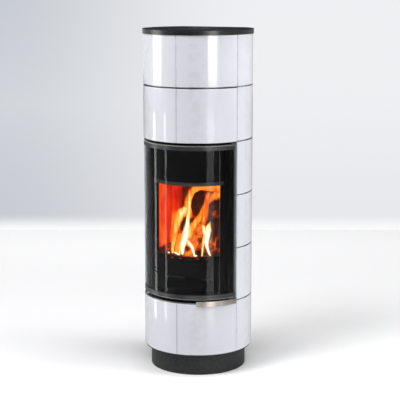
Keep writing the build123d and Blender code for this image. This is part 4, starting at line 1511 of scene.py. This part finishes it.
@dataclass(frozen=True)
class Billet:
    """One log: its two ends in the picture's directions in millimetres, its radius and its finish."""

    name: str
    start: tuple[float, float, float]
    end: tuple[float, float, float]
    radius: float
    finish: str = "charred_bark"
    end_finish: str = "charred_end"
    flatten: float = 0.9
    seed: float = 0.0
    rings: int = 26
    sides: int = 40
    end_relief: float = 0.0016

    def build(self, view: View, finishes: Finishes) -> bpy.types.Object:
        """Makes the log, with ridged bark and sawn ends.

        Args:
            view: The picture's directions.
            finishes: The stove's finishes.

        Returns:
            The piece.
        """
        first, last = (view.place(*(Vector(end) * MM)) for end in (self.start, self.end))
        axis = last - first
        turn = axis.to_track_quat("Z", "Y")
        bm = bmesh.new()
        rows = []
        for ring in range(self.rings + 1):
            share = ring / self.rings
            row = []
            for step in range(self.sides):
                angle = math.tau * step / self.sides
                around = Vector((math.cos(angle), math.sin(angle) * self.flatten, 0.0))
                local = around * self._bark(around, share)
                local.z = share * axis.length
                row.append(bm.verts.new(first + turn @ local))
            rows.append(row)
        skin(bm, rows)
        for row, middle, way in ((rows[0], first, -1.0), (rows[-1], last, 1.0)):
            rings = [row]
            for share in (0.66, 0.33):
                ring = []
                for vertex in row:
                    push = axis.normalized() * (way * self.end_relief * noise.noise(vertex.co * 60.0))
                    ring.append(bm.verts.new(middle.lerp(vertex.co, share) + push))
                rings.append(ring)
            skin(bm, rings, finish=1)
            bm.faces.new(rings[-1]).material_index = 1
        mesh = mesh_from(bm, self.name)
        mesh.materials.append(finishes[self.finish])
        mesh.materials.append(finishes[self.end_finish])
        return link_mesh(self.name, mesh)

    def _bark(self, around: Vector, share: float) -> float:
        """How far the bark stands from the log's axis.

        Args:
            around: The direction from the axis.
            share: How far along the log, 0 to 1.

        Returns:
            The distance.
        """
        swell = noise.noise(Vector((around.x * 3.0, around.y * 3.0, share * 2.0 + self.seed)))
        ridge = noise.noise(Vector((around.x * 7.0, around.y * 7.0, share * 3.0 + self.seed)))
        worn = 1.0 - 0.10 * (1.0 - smooth(0.0, 0.05, share) * smooth(0.0, 0.05, 1.0 - share))
        return self.radius * MM * (1.0 + 0.10 * swell - 0.09 * abs(ridge)) * worn


@dataclass(frozen=True)
class EmberBed:
    """Glowing lumps scattered over a level patch of the hearth, by a geometry node tree."""

    name: str
    middle: tuple[float, float, float]
    size: tuple[float, float]
    density: float
    lump: float
    seed: int
    relief: float = 0.012

    @staticmethod
    def scatter_tree() -> bpy.types.NodeTree:
        """Builds the tree that scatters, joins and roughens the lumps.

        Returns:
            The tree.
        """
        tree, given, out = new_group(
            "GeometryNodeTree",
            "scattered_lumps",
            [
                ("Geometry", SocketKind.GEOMETRY, None),
                ("Density", SocketKind.NUMBER, 3000.0),
                ("Lump Radius", SocketKind.NUMBER, 0.010),
                ("Relief", SocketKind.NUMBER, 0.012),
                ("Seed", SocketKind.WHOLE, 1),
                ("Material", SocketKind.MATERIAL, None),
            ],
            [("Geometry", SocketKind.GEOMETRY)],
        )
        size = given.outputs
        inputs = {"Mesh": size["Geometry"], "Density": size["Density"], "Seed": size["Seed"]}
        points = tree.add("GeometryNodeDistributePointsOnFaces", inputs).outputs["Points"]
        inputs = {"Radius": size["Lump Radius"], "Subdivisions": 2}
        lump = tree.add("GeometryNodeMeshIcoSphere", inputs).outputs["Mesh"]
        chance = {}
        for label, least, most in (
            ("Rotation", (0.0, 0.0, 0.0), (math.tau, math.tau, math.tau)),
            ("Scale", (0.55, 0.55, 0.45), (1.25, 1.1, 0.9)),
        ):
            inputs = {"Min": least, "Max": most, "Seed": size["Seed"]}
            drawn = tree.add("FunctionNodeRandomValue", inputs, data_type="FLOAT_VECTOR")
            chance[label] = drawn.outputs["Value"]
        inputs = {"Points": points, "Instance": lump, **chance}
        placed = tree.add("GeometryNodeInstanceOnPoints", inputs).outputs["Instances"]
        joined = tree.add("GeometryNodeRealizeInstances", {"Geometry": placed}).outputs["Geometry"]
        here = tree.add("GeometryNodeInputPosition").outputs["Position"]
        outward = tree.add("GeometryNodeInputNormal").outputs["Normal"]
        rough = tree.math("SUBTRACT", tree.clouds(here, 90.0, detail=2.0), 0.5)
        offset = tree.scaled(outward, tree.math("MULTIPLY", rough, size["Relief"]))
        moved = tree.add("GeometryNodeSetPosition", {"Geometry": joined, "Offset": offset})
        return end_shape(tree, out, moved.outputs["Geometry"], size["Material"])

    def build(self, tree: bpy.types.NodeTree, material: bpy.types.Material) -> bpy.types.Object:
        """Scatters the lumps over the patch and bakes them into a plain mesh.

        Args:
            tree: The tree that scatters them.
            material: The embers' finish.

        Returns:
            The piece.
        """
        bm = bmesh.new()
        bmesh.ops.create_grid(bm, x_segments=2, y_segments=2, size=0.5)
        bmesh.ops.scale(bm, vec=(*self.size, 1.0), verts=bm.verts)
        bmesh.ops.translate(bm, vec=self.middle, verts=bm.verts)
        patch = link_mesh(self.name, mesh_from(bm, self.name))
        values = {
            "Density": self.density,
            "Lump Radius": self.lump,
            "Relief": self.relief,
            "Seed": self.seed,
            "Material": material,
        }
        return baked(patch, tree, values)


@dataclass
class Fire:
    """The lit fire on the hearth: logs, embers and flames."""

    view: View = field(default_factory=View)
    billets: tuple[Billet, ...] = (
        Billet("log_top", (-3, 814, -45), (100, 786, 10), 70, "charred_bark", flatten=0.95, seed=1.0),
        Billet("log_left", (-74, 709, -45), (4, 690, -8), 40, "charred_bark", seed=5.0),
        Billet("log_front", (-50, 602, -92), (22, 704, -60), 31, "bright_bark", seed=9.0),
        Billet("log_right", (92, 588, -50), (104, 800, 0), 30, "charred_bark", seed=14.0),
        Billet("log_low", (-96, 606, 30), (96, 606, 60), 30, "bright_bark", seed=21.0),
        Billet("log_back", (24, 586, 50), (34, 745, 10), 42, "charred_bark", seed=24.0),
        Billet("billet_upright", (0, 584, -98), (-4, 660, -84), 19, "warm_bark", seed=27.0),
        Billet("billet_beside", (28, 584, -94), (32, 672, -78), 15, "warm_bark", seed=33.0),
        Billet("billet_corner", (-20, 582, -100), (-30, 626, -92), 14, "warm_bark", seed=36.0),
        Billet("twig_long", (78, 584, -96), (86, 640, -92), 2.6, "bright_bark", seed=40.0),
        Billet("twig_crossing", (66, 634, -97), (92, 590, -96), 2.2, "bright_bark", seed=43.0),
        Billet("twig_short", (62, 606, -98), (84, 628, -95), 1.8, "bright_bark", seed=47.0),
    )
    tongues: tuple[Tongue, ...] = (
        Tongue(
            "flame_arch",
            (
                (-56, 700, 40, 0.50),
                (-52, 760, 52, 0.54),
                (-40, 820, 62, 0.57),
                (-16, 868, 66, 0.57),
                (20, 888, 64, 0.54),
                (64, 894, 64, 0.53),
                (120, 890, 68, 0.54),
                (172, 888, 60, 0.52),
            ),
            foot=50,
            tip=95,
        ),
        Tongue(
            "flame_beside_log",
            ((28, 700, 30, 0.34), (36, 770, 36, 0.40), (44, 830, 34, 0.44), (60, 880, 40, 0.46)),
            foot=-128,
            tip=-128,
            soft=0.95,
        ),
        Tongue(
            "flame_over_log",
            ((40, 806, 20, 0.42), (66, 838, 36, 0.52), (84, 850, 48, 0.56), (114, 852, 50, 0.54)),
            foot=-126,
            tip=-120,
            soft=0.9,
        ),
        Tongue(
            "flame_haze",
            ((-128, 610, 30, 0.44), (-122, 680, 40, 0.46), (-114, 740, 56, 0.47), (-92, 792, 60, 0.46)),
            foot=-70,
            tip=-60,
            soft=1.0,
            body=0.6,
        ),
        Tongue(
            "flame_left",
            (
                (-126, 560, 12, 0.80),
                (-123, 600, 22, 0.70),
                (-113, 655, 29, 0.68),
                (-102, 710, 38, 0.72),
                (-85, 757, 52, 0.78),
                (-62, 782, 44, 0.82),
                (-44, 802, 22, 0.72),
            ),
            foot=-150,
        ),
        Tongue(
            "flame_veil",
            ((-98, 560, 56, 0.60), (-95, 600, 56, 0.57), (-90, 640, 40, 0.55), (-86, 668, 18, 0.52)),
            foot=-110,
            tip=-95,
            soft=0.9,
        ),
        Tongue(
            "flame_main",
            (
                (-78, 553, 12, 1.05),
                (-75, 588, 26, 1.10),
                (-66, 632, 42, 1.14),
                (-57, 682, 34, 1.10),
                (-49, 735, 24, 0.98),
                (-43, 795, 18, 0.86),
                (-40, 855, 20, 0.70),
                (-40, 905, 30, 0.50),
            ),
            foot=-165,
            tip=-90,
        ),
        Tongue(
            "flame_main_side",
            ((-90, 556, 12, 0.80), (-86, 600, 22, 0.78), (-76, 640, 26, 0.80), (-66, 676, 20, 0.84)),
            foot=-158,
            tip=-130,
            soft=1.0,
            body=0.8,
        ),
        Tongue(
            "flame_slanting",
            (
                (-50, 640, 40, 0.70),
                (-34, 684, 46, 0.68),
                (-10, 718, 40, 0.62),
                (9, 750, 32, 0.56),
                (22, 783, 24, 0.50),
                (33, 820, 20, 0.42),
            ),
            foot=-130,
            tip=-125,
        ),
        Tongue(
            "flame_front",
            (
                (-4, 550, 8, 0.95),
                (-18, 552, 15, 1.05),
                (-24, 574, 16, 1.05),
                (-32, 598, 20, 1.0),
                (-46, 614, 24, 0.98),
                (-60, 644, 14, 0.85),
            ),
            foot=-165,
            tip=-135,
        ),
        Tongue(
            "flame_right",
            (
                (62, 548, 8, 1.0),
                (52, 568, 15, 1.08),
                (41, 605, 23, 1.12),
                (43, 648, 38, 1.14),
                (46, 678, 46, 1.02),
                (54, 704, 22, 0.85),
                (61, 730, 8, 0.60),
            ),
            foot=-150,
            tip=-110,
        ),
        Tongue(
            "flame_right_fork",
            (
                (31, 655, 22, 1.0),
                (25, 710, 20, 0.80),
                (25, 755, 17, 0.60),
                (31, 795, 17, 0.50),
                (37, 830, 14, 0.42),
            ),
            foot=-125,
            tip=-130,
        ),
        Tongue(
            "flame_thin",
            ((19, 546, 9, 0.78), (22, 587, 14, 0.84), (26, 628, 14, 0.86), (30, 672, 12, 0.80)),
            foot=-160,
            tip=-128,
        ),
        Tongue(
            "flame_low",
            ((-70, 560, 40, 0.52), (-40, 566, 44, 0.50), (-10, 600, 36, 0.46), (6, 640, 22, 0.42)),
            foot=-150,
            tip=-130,
            soft=1.0,
            body=0.6,
        ),
        Tongue(
            "flame_foot",
            ((-120, 570, 8, 0.95), (-106, 562, 11, 1.10), (-88, 553, 9, 1.0)),
            foot=-160,
            tip=-168,
        ),
        Tongue(
            "flame_spark",
            ((-149, 569, 6, 1.0), (-144, 567, 10, 1.15), (-138, 565, 6, 1.0)),
            foot=-140,
            tip=-142,
            thickness=5,
        ),
    )

    def build(self, finishes: Finishes) -> list[bpy.types.Object]:
        """Lays the logs, strews the embers and raises the flames.

        Args:
            finishes: The stove's finishes.

        Returns:
            The pieces, all on the root body.
        """
        pieces = [billet.build(self.view, finishes) for billet in self.billets]
        pieces += [tongue.build(self.view, finishes["flame"]) for tongue in self.tongues]
        tree = EmberBed.scatter_tree()
        pieces += [bed.build(tree, finishes["ember"]) for bed in self.beds()]
        for piece in pieces:
            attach(piece, "root")
        return pieces

    @staticmethod
    def beds() -> tuple[EmberBed, ...]:
        """The beds of embers, on the hearth's bricks and on the ledge before them.

        Returns:
            The beds.
        """
        bricks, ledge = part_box("hearth_bricks")[1].z + 0.003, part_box("hearth_plate")[1].z + 0.009
        return (
            EmberBed("embers_hearth", (-0.01, -0.010, bricks), (0.29, 0.185), 5200.0, 0.010, 3),
            EmberBed("embers_front", (0.0, -0.140, ledge), (0.27, 0.040), 11000.0, 0.0095, 7),
            EmberBed("embers_slots", (0.0, -0.184, ledge), (0.14, 0.034), 8000.0, 0.009, 11),
        )


# ------------------------------------------------------------------ studio


class Receiver(Enum):
    """The finishes for which alone a lamp, a panel or the card is there."""

    GLAZE = ("white_glaze", "door_paint")
    GLASS = ("door_glass",)
    GRIP = ("brushed_steel",)

    def collection(self) -> bpy.types.Collection:
        """Gathers this receiver's pieces for light linking, once.

        Returns:
            The collection of the pieces.
        """
        made = bpy.data.collections.get(self.name)
        if made is None:
            made = bpy.data.collections.new(self.name)
            for piece in bpy.data.objects:
                if piece.type == "MESH" and {m.name for m in piece.data.materials if m} & set(self.value):
                    made.objects.link(piece)
        return made


@dataclass
class Lamp:
    """A soft box that looks at a point on the stove's axis.

    Its azimuth is measured from the camera's direction, towards the picture's right.
    """

    name: str
    azimuth: float
    distance: float
    height: float
    width: float
    tall: float
    radiance: float
    aim_height: float = 0.9
    diffuse: bool = True
    glossy: bool = False
    only: Receiver | None = None

    def placement(self, view: View) -> tuple[Vector, Quaternion]:
        """Where the lamp stands and how it is turned.

        Args:
            view: The picture's directions.

        Returns:
            Its place and its rotation.
        """
        turn = math.radians(self.azimuth)
        way = view.to_camera * math.cos(turn) + view.to_right * math.sin(turn)
        place = way * self.distance + Vector((0.0, 0.0, self.height))
        aim = Vector((0.0, 0.0, self.aim_height)) - place
        return place, aim.to_track_quat("-Z", "Y")

    def build(self, view: View) -> None:
        """Hangs the lamp in the scene.

        Args:
            view: The picture's directions.
        """
        data = bpy.data.lights.new(self.name, "AREA")
        data.shape = "RECTANGLE"
        data.size, data.size_y = self.width, self.tall
        data.energy = self.radiance * math.pi * self.width * self.tall
        lamp = bpy.data.objects.new(self.name, data)
        bpy.context.scene.collection.objects.link(lamp)
        lamp.rotation_mode = "QUATERNION"
        lamp.location, lamp.rotation_quaternion = self.placement(view)
        lamp.visible_camera = False
        lamp.visible_diffuse = self.diffuse
        lamp.visible_glossy = self.glossy
        lamp.visible_transmission = False
        if self.only:
            lamp.light_linking.receiver_collection = self.only.collection()


@dataclass
class Panel(Lamp):
    """A reflector that is only mirrored, in the pieces of one receiver."""

    diffuse: bool = False
    glossy: bool = True
    only: Receiver | None = Receiver.GLAZE


@dataclass
class Card(Lamp):
    """A glowing card that satin surfaces mirror and the mirror-smooth pane doesn't."""

    only: Receiver | None = Receiver.GRIP

    def build(self, view: View) -> None:
        """Stands the card in the scene as a staged plane.

        Args:
            view: The picture's directions.
        """
        paper = Surface(self.name)
        rays = paper.add("ShaderNodeLightPath").outputs
        rough = paper.math("SUBTRACT", 1.0, rays["Is Singular Ray"])
        satin = paper.math("MULTIPLY", rays["Is Glossy Ray"], rough)
        material = paper.choose(satin, paper.clear(), paper.glow(WHITE, self.radiance))
        place, turn = self.placement(view)
        half_width, half_tall = self.width / 2, self.tall / 2
        flat = [(x * half_width, y * half_tall) for x, y in CORNERS]
        card = staged_plane(self.name, [place + turn @ Vector((x, y, 0.0)) for x, y in flat], material)
        card.visible_camera = card.visible_diffuse = False
        card.visible_transmission = card.visible_shadow = False
        card.light_linking.receiver_collection = self.only.collection()


def staged_plane(name: str, corners: Sequence[Vector], material: bpy.types.Material) -> bpy.types.Object:
    """Makes a plane of the studio, which is no part of the stove.

    Args:
        name: The plane's name.
        corners: Its corners, anticlockwise as seen from its front.
        material: Its material.

    Returns:
        The plane.
    """
    mesh = bpy.data.meshes.new(name)
    mesh.from_pydata([tuple(corner) for corner in corners], [], [tuple(range(len(corners)))])
    mesh.materials.append(material)
    plane = link_mesh(name, mesh)
    return plane


def ray_masks(tree: Tree) -> tuple[bpy.types.NodeSocket, bpy.types.NodeSocket]:
    """Two masks for the room's surfaces.

    Args:
        tree: The shader that gets the nodes.

    Returns:
        Where the room is seen, directly or through the clean pane, and where the mirror-smooth
        pane mirrors it.
    """
    rays = tree.add("ShaderNodeLightPath").outputs
    bounces = tree.math("ADD", rays["Diffuse Depth"], rays["Glossy Depth"])
    through = tree.math("MULTIPLY", rays["Is Transmission Ray"], tree.math("LESS_THAN", bounces, 0.5))
    seen = tree.math("MAXIMUM", rays["Is Camera Ray"], through)
    sharp = tree.math("MULTIPLY", rays["Is Glossy Ray"], rays["Is Singular Ray"])
    mirrored = tree.math("MULTIPLY", sharp, tree.math("SUBTRACT", 1.0, rays["Is Transmission Ray"]))
    return seen, mirrored


@dataclass
class Studio:
    """A pale floor and wall, soft light and the camera."""

    view: View = field(default_factory=View)
    floor_half: float = 14.0
    wall_distance: float = 3.17
    wall_half: float = 4.5
    wall_height: float = 5.0
    ambient: float = 0.42
    floor_tone: Colour = (0.925, 0.925, 0.925)
    floor_patch: Colour = (0.935, 0.935, 0.935)
    floor_unseen: Colour = (0.62, 0.62, 0.62)
    # Painted shadow: the tone and reach of the contact shadow painted close behind the stove.
    painted_shadow_tone: Colour = (0.05, 0.05, 0.05)
    painted_shadow_reach: float = 0.7
    lift: float = 0.25
    lift_starts: float = 0.9
    lift_ends: float = 3.0
    wall_foot: Colour = (0.97, 0.97, 0.975)
    wall_foot_height: float = 0.13
    wall_left: tuple[Colour, ...] = ((0.58, 0.60, 0.64), (0.64, 0.67, 0.71), (0.55, 0.58, 0.62))
    wall_right: tuple[Colour, ...] = ((0.80, 0.81, 0.84), (0.865, 0.87, 0.89))
    pale: Colour = (0.84, 0.85, 0.87)
    dark_in_pane: Colour = (0.03, 0.03, 0.032)
    dark_behind_pane: Colour = (0.12, 0.12, 0.125)
    dark_in_gloss: Colour = (0.04, 0.04, 0.045)
    lamps: tuple[Lamp, ...] = (
        Lamp("key_light", -52.0, 3.4, 5.9, 2.0, 2.0, 17.6, aim_height=0.3),
        Lamp("high_right", 66.0, 1.2, 4.9, 1.6, 1.6, 6.0, aim_height=0.3),
        Lamp("left_light", -84.0, 3.6, 1.5, 1.4, 1.4, 3.2),
        Lamp("right_light", 72.0, 2.6, 1.6, 1.2, 1.2, 8.2, only=Receiver.GLAZE),
        Panel("left_panel", -89.0, 2.0, 2.12, 0.86, 1.8, 5.0, aim_height=1.9),
        Panel("left_streak", -80.5, 2.0, 2.03, 0.14, 1.8, 1.4, aim_height=2.0),
        Panel("left_streak_far", -99.0, 2.0, 1.97, 0.13, 2.0, 0.9, aim_height=1.95),
        Panel("right_panel", 28.5, 2.4, 2.12, 0.76, 1.8, 8.0, aim_height=2.1),
        Panel("right_streak", 21.0, 2.4, 1.97, 0.08, 2.0, 1.4, aim_height=1.95),
        Panel("right_streak_far", 34.5, 2.4, 2.05, 0.12, 1.8, 1.4, aim_height=2.0),
        Panel("left_line", -65.0, 1.06, 0.60, 0.085, 1.15, 6.2, aim_height=0.60, only=Receiver.GLASS),
        Panel("left_line_far", -93.0, 1.03, 0.60, 0.11, 1.15, 6.0, aim_height=0.60, only=Receiver.GLASS),
        Panel("right_band", 23.2, 1.10, 0.60, 0.27, 1.15, 3.2, aim_height=0.60, only=Receiver.GLASS),
        Panel("right_line", 41.4, 1.09, 0.60, 0.05, 1.15, 3.4, aim_height=0.60, only=Receiver.GLASS),
        Card("studio_card", -8.0, 1.40, 0.30, 0.60, 0.60, 1.9, aim_height=0.36),
    )

    def build(self) -> None:
        """Builds the whole studio."""
        self._floor()
        self._wall()
        self._world()
        for lamp in self.lamps:
            lamp.build(self.view)
        self._camera()
        bpy.context.scene.view_settings.view_transform = "Standard"

    def _floor(self) -> None:
        """Lays a wide white floor that keeps the stove's shadow, with a painted contact shadow close behind
        the stove.
        """
        shader = Shader("studio_floor")
        here = shader.object_place()
        looked_at, mirrored = ray_masks(shader)
        behind = shader.vector("DOT_PRODUCT", here, -self.view.to_camera)
        # Painted shadow: where ambient occlusion finds the stove near and behind its axis, the seen floor is
        # darkened.
        light = shader.add("ShaderNodeAmbientOcclusion", {"Distance": self.painted_shadow_reach}).outputs["AO"]
        occluded = shader.math("SUBTRACT", 1.0, shader.remap(light, 0.3, 1.0))
        painted_shadow = shader.math("MULTIPLY", occluded, shader.remap(behind, -0.1, 0.3))
        seen = shader.mix(shader.clouds(here, 0.8), self.floor_tone, self.floor_patch)
        seen = shader.mix(painted_shadow, seen, self.painted_shadow_tone)
        shader.set(Base_Color=shader.mix(looked_at, self.floor_unseen, seen))
        shader.set(Roughness=0.9, Specular_IOR_Level=0.1, Emission_Color=WHITE)
        rising = shader.remap(behind, self.lift_starts, self.lift_ends, 0.02, self.lift)
        shader.set(Emission_Strength=shader.math("MULTIPLY", looked_at, rising))
        shown = shader.choose(mirrored, shader.surface.outputs[0], shader.glow(self.dark_in_pane))
        corners = [Vector((x * self.floor_half, y * self.floor_half, 0.0)) for x, y in CORNERS]
        staged_plane("studio_floor", corners, shown)

    def _wall(self) -> None:
        """Stands the wall behind the stove, seen only from its front."""
        wall = Surface("studio_wall")
        here = wall.object_place()
        across = wall.vector("DOT_PRODUCT", here, self.view.to_right)
        level = wall.split(here)[2]
        # Painted light and shade: the plain wall is darker towards the left and paler towards the right.
        left = wall.ramp(wall.remap(level, 0.0, 2.4), *zip((0.0, 0.35, 1.0), self.wall_left))
        right = wall.ramp(wall.remap(level, 0.0, 1.2), *zip((0.0, 1.0), self.wall_right))
        tone = wall.mix(wall.remap(across, -1.6, 0.5), left, right)
        tone = wall.mix(wall.remap(level, 0.0, self.wall_foot_height), self.wall_foot, tone)
        rays = wall.add("ShaderNodeLightPath").outputs
        seen = wall.math("MAXIMUM", rays["Is Camera Ray"], rays["Is Transmission Ray"])
        front = wall.math("SUBTRACT", 1.0, wall.add("ShaderNodeNewGeometry").outputs["Backfacing"])
        ends = wall.remap(wall.math("ABSOLUTE", across), self.wall_half, self.wall_half * 0.6)
        shown = wall.math("MULTIPLY", wall.math("MULTIPLY", seen, front), ends)
        middle = self.view.to_camera * -self.wall_distance
        aside = self.view.to_right * self.wall_half
        up = Vector((0.0, 0.0, self.wall_height))
        corners = [middle - aside, middle + aside, middle + aside + up, middle - aside + up]
        plane = staged_plane("studio_wall", corners, wall.choose(shown, wall.clear(), wall.glow(tone)))
        plane.visible_shadow = False

    def _world(self) -> None:
        """Sets even light all round, dark where glossy surfaces would mirror the room's front."""
        world = bpy.data.worlds.new("studio_light")
        bpy.context.scene.world = world
        world.use_nodes = True
        world.node_tree.nodes.clear()
        tree = Tree(world.node_tree)
        way = tree.add("ShaderNodeTexCoord").outputs["Generated"]
        ahead = tree.vector("DOT_PRODUCT", way, self.view.to_camera)
        aside = tree.vector("DOT_PRODUCT", way, self.view.to_right)
        up = tree.split(way)[2]
        lit_side = tree.math("MULTIPLY", tree.remap(aside, 0.62, 0.92), 0.85)
        dark = tree.math("MULTIPLY", tree.remap(ahead, -0.45, 0.25), tree.math("SUBTRACT", 1.0, lit_side))
        dark = tree.math("MAXIMUM", dark, tree.remap(up, -0.02, 0.03))
        far_right = tree.math("MULTIPLY", tree.remap(aside, 0.05, 0.4), tree.remap(ahead, -0.55, -0.85))
        around = tree.mix(far_right, self.pale, (0.38, 0.385, 0.40))
        in_gloss = tree.mix(dark, around, self.dark_in_gloss)
        even = (self.ambient, self.ambient, self.ambient * 1.03)
        shaded = tree.math("MULTIPLY", tree.remap(ahead, 0.3, -0.5), tree.remap(aside, -0.1, 0.6))
        even = tree.mix(tree.math("MULTIPLY", shaded, 0.7), even, (0.0, 0.0, 0.0))
        rays = tree.add("ShaderNodeLightPath").outputs
        looked_at, in_pane = ray_masks(tree)
        colour = tree.mix(rays["Is Glossy Ray"], even, in_gloss)
        colour = tree.mix(in_pane, colour, self.dark_in_pane)
        colour = tree.mix(rays["Is Transmission Ray"], colour, self.dark_behind_pane)
        colour = tree.mix(looked_at, colour, self.pale)
        light = tree.add("ShaderNodeBackground", {"Color": colour, "Strength": 1.0}).outputs[0]
        tree.add("ShaderNodeOutputWorld", {"Surface": light})

    def _camera(self) -> None:
        """Sets the camera up in the photographed direction."""
        data = bpy.data.cameras.new("camera")
        data.sensor_width = self.view.film
        data.lens = self.view.focal_length
        camera = bpy.data.objects.new("camera", data)
        bpy.context.scene.collection.objects.link(camera)
        place = self.view.to_camera * self.view.distance + self.view.to_right * self.view.aside
        camera.location = place + Vector((0.0, 0.0, self.view.height))
        camera.rotation_euler = (math.radians(90.0 - self.view.pitch), 0.0, math.radians(self.view.azimuth))
        bpy.context.scene.camera = camera


# ------------------------------------------------------------------ main


def main() -> None:
    """Builds the stove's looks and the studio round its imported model."""
    logging.basicConfig(level=logging.INFO, format="%(name)s: %(message)s")
    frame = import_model()
    finishes = Finishes()
    stove = (Carcass(), AirSupply(), AshDrawer(), FireBody(), HeatStore(), Lid(), Door(), Cladding())
    dressed = 0
    for part in stove:
        count = part.dress(frame, finishes)
        dressed += count
        log.info("%s: dressed %d packed pieces", part.label, count)
        for piece in part.build(finishes):
            log.info("%s: made %s", part.label, piece.name)
    if dressed != len(frame["nodes"]):
        raise ValueError(f"{len(frame['nodes'])} packed pieces, but {dressed} dressed")
    for piece in Fire().build(finishes):
        log.info("fire: made %s", piece.name)
    Studio().build()


if __name__ == "__main__":
    main()
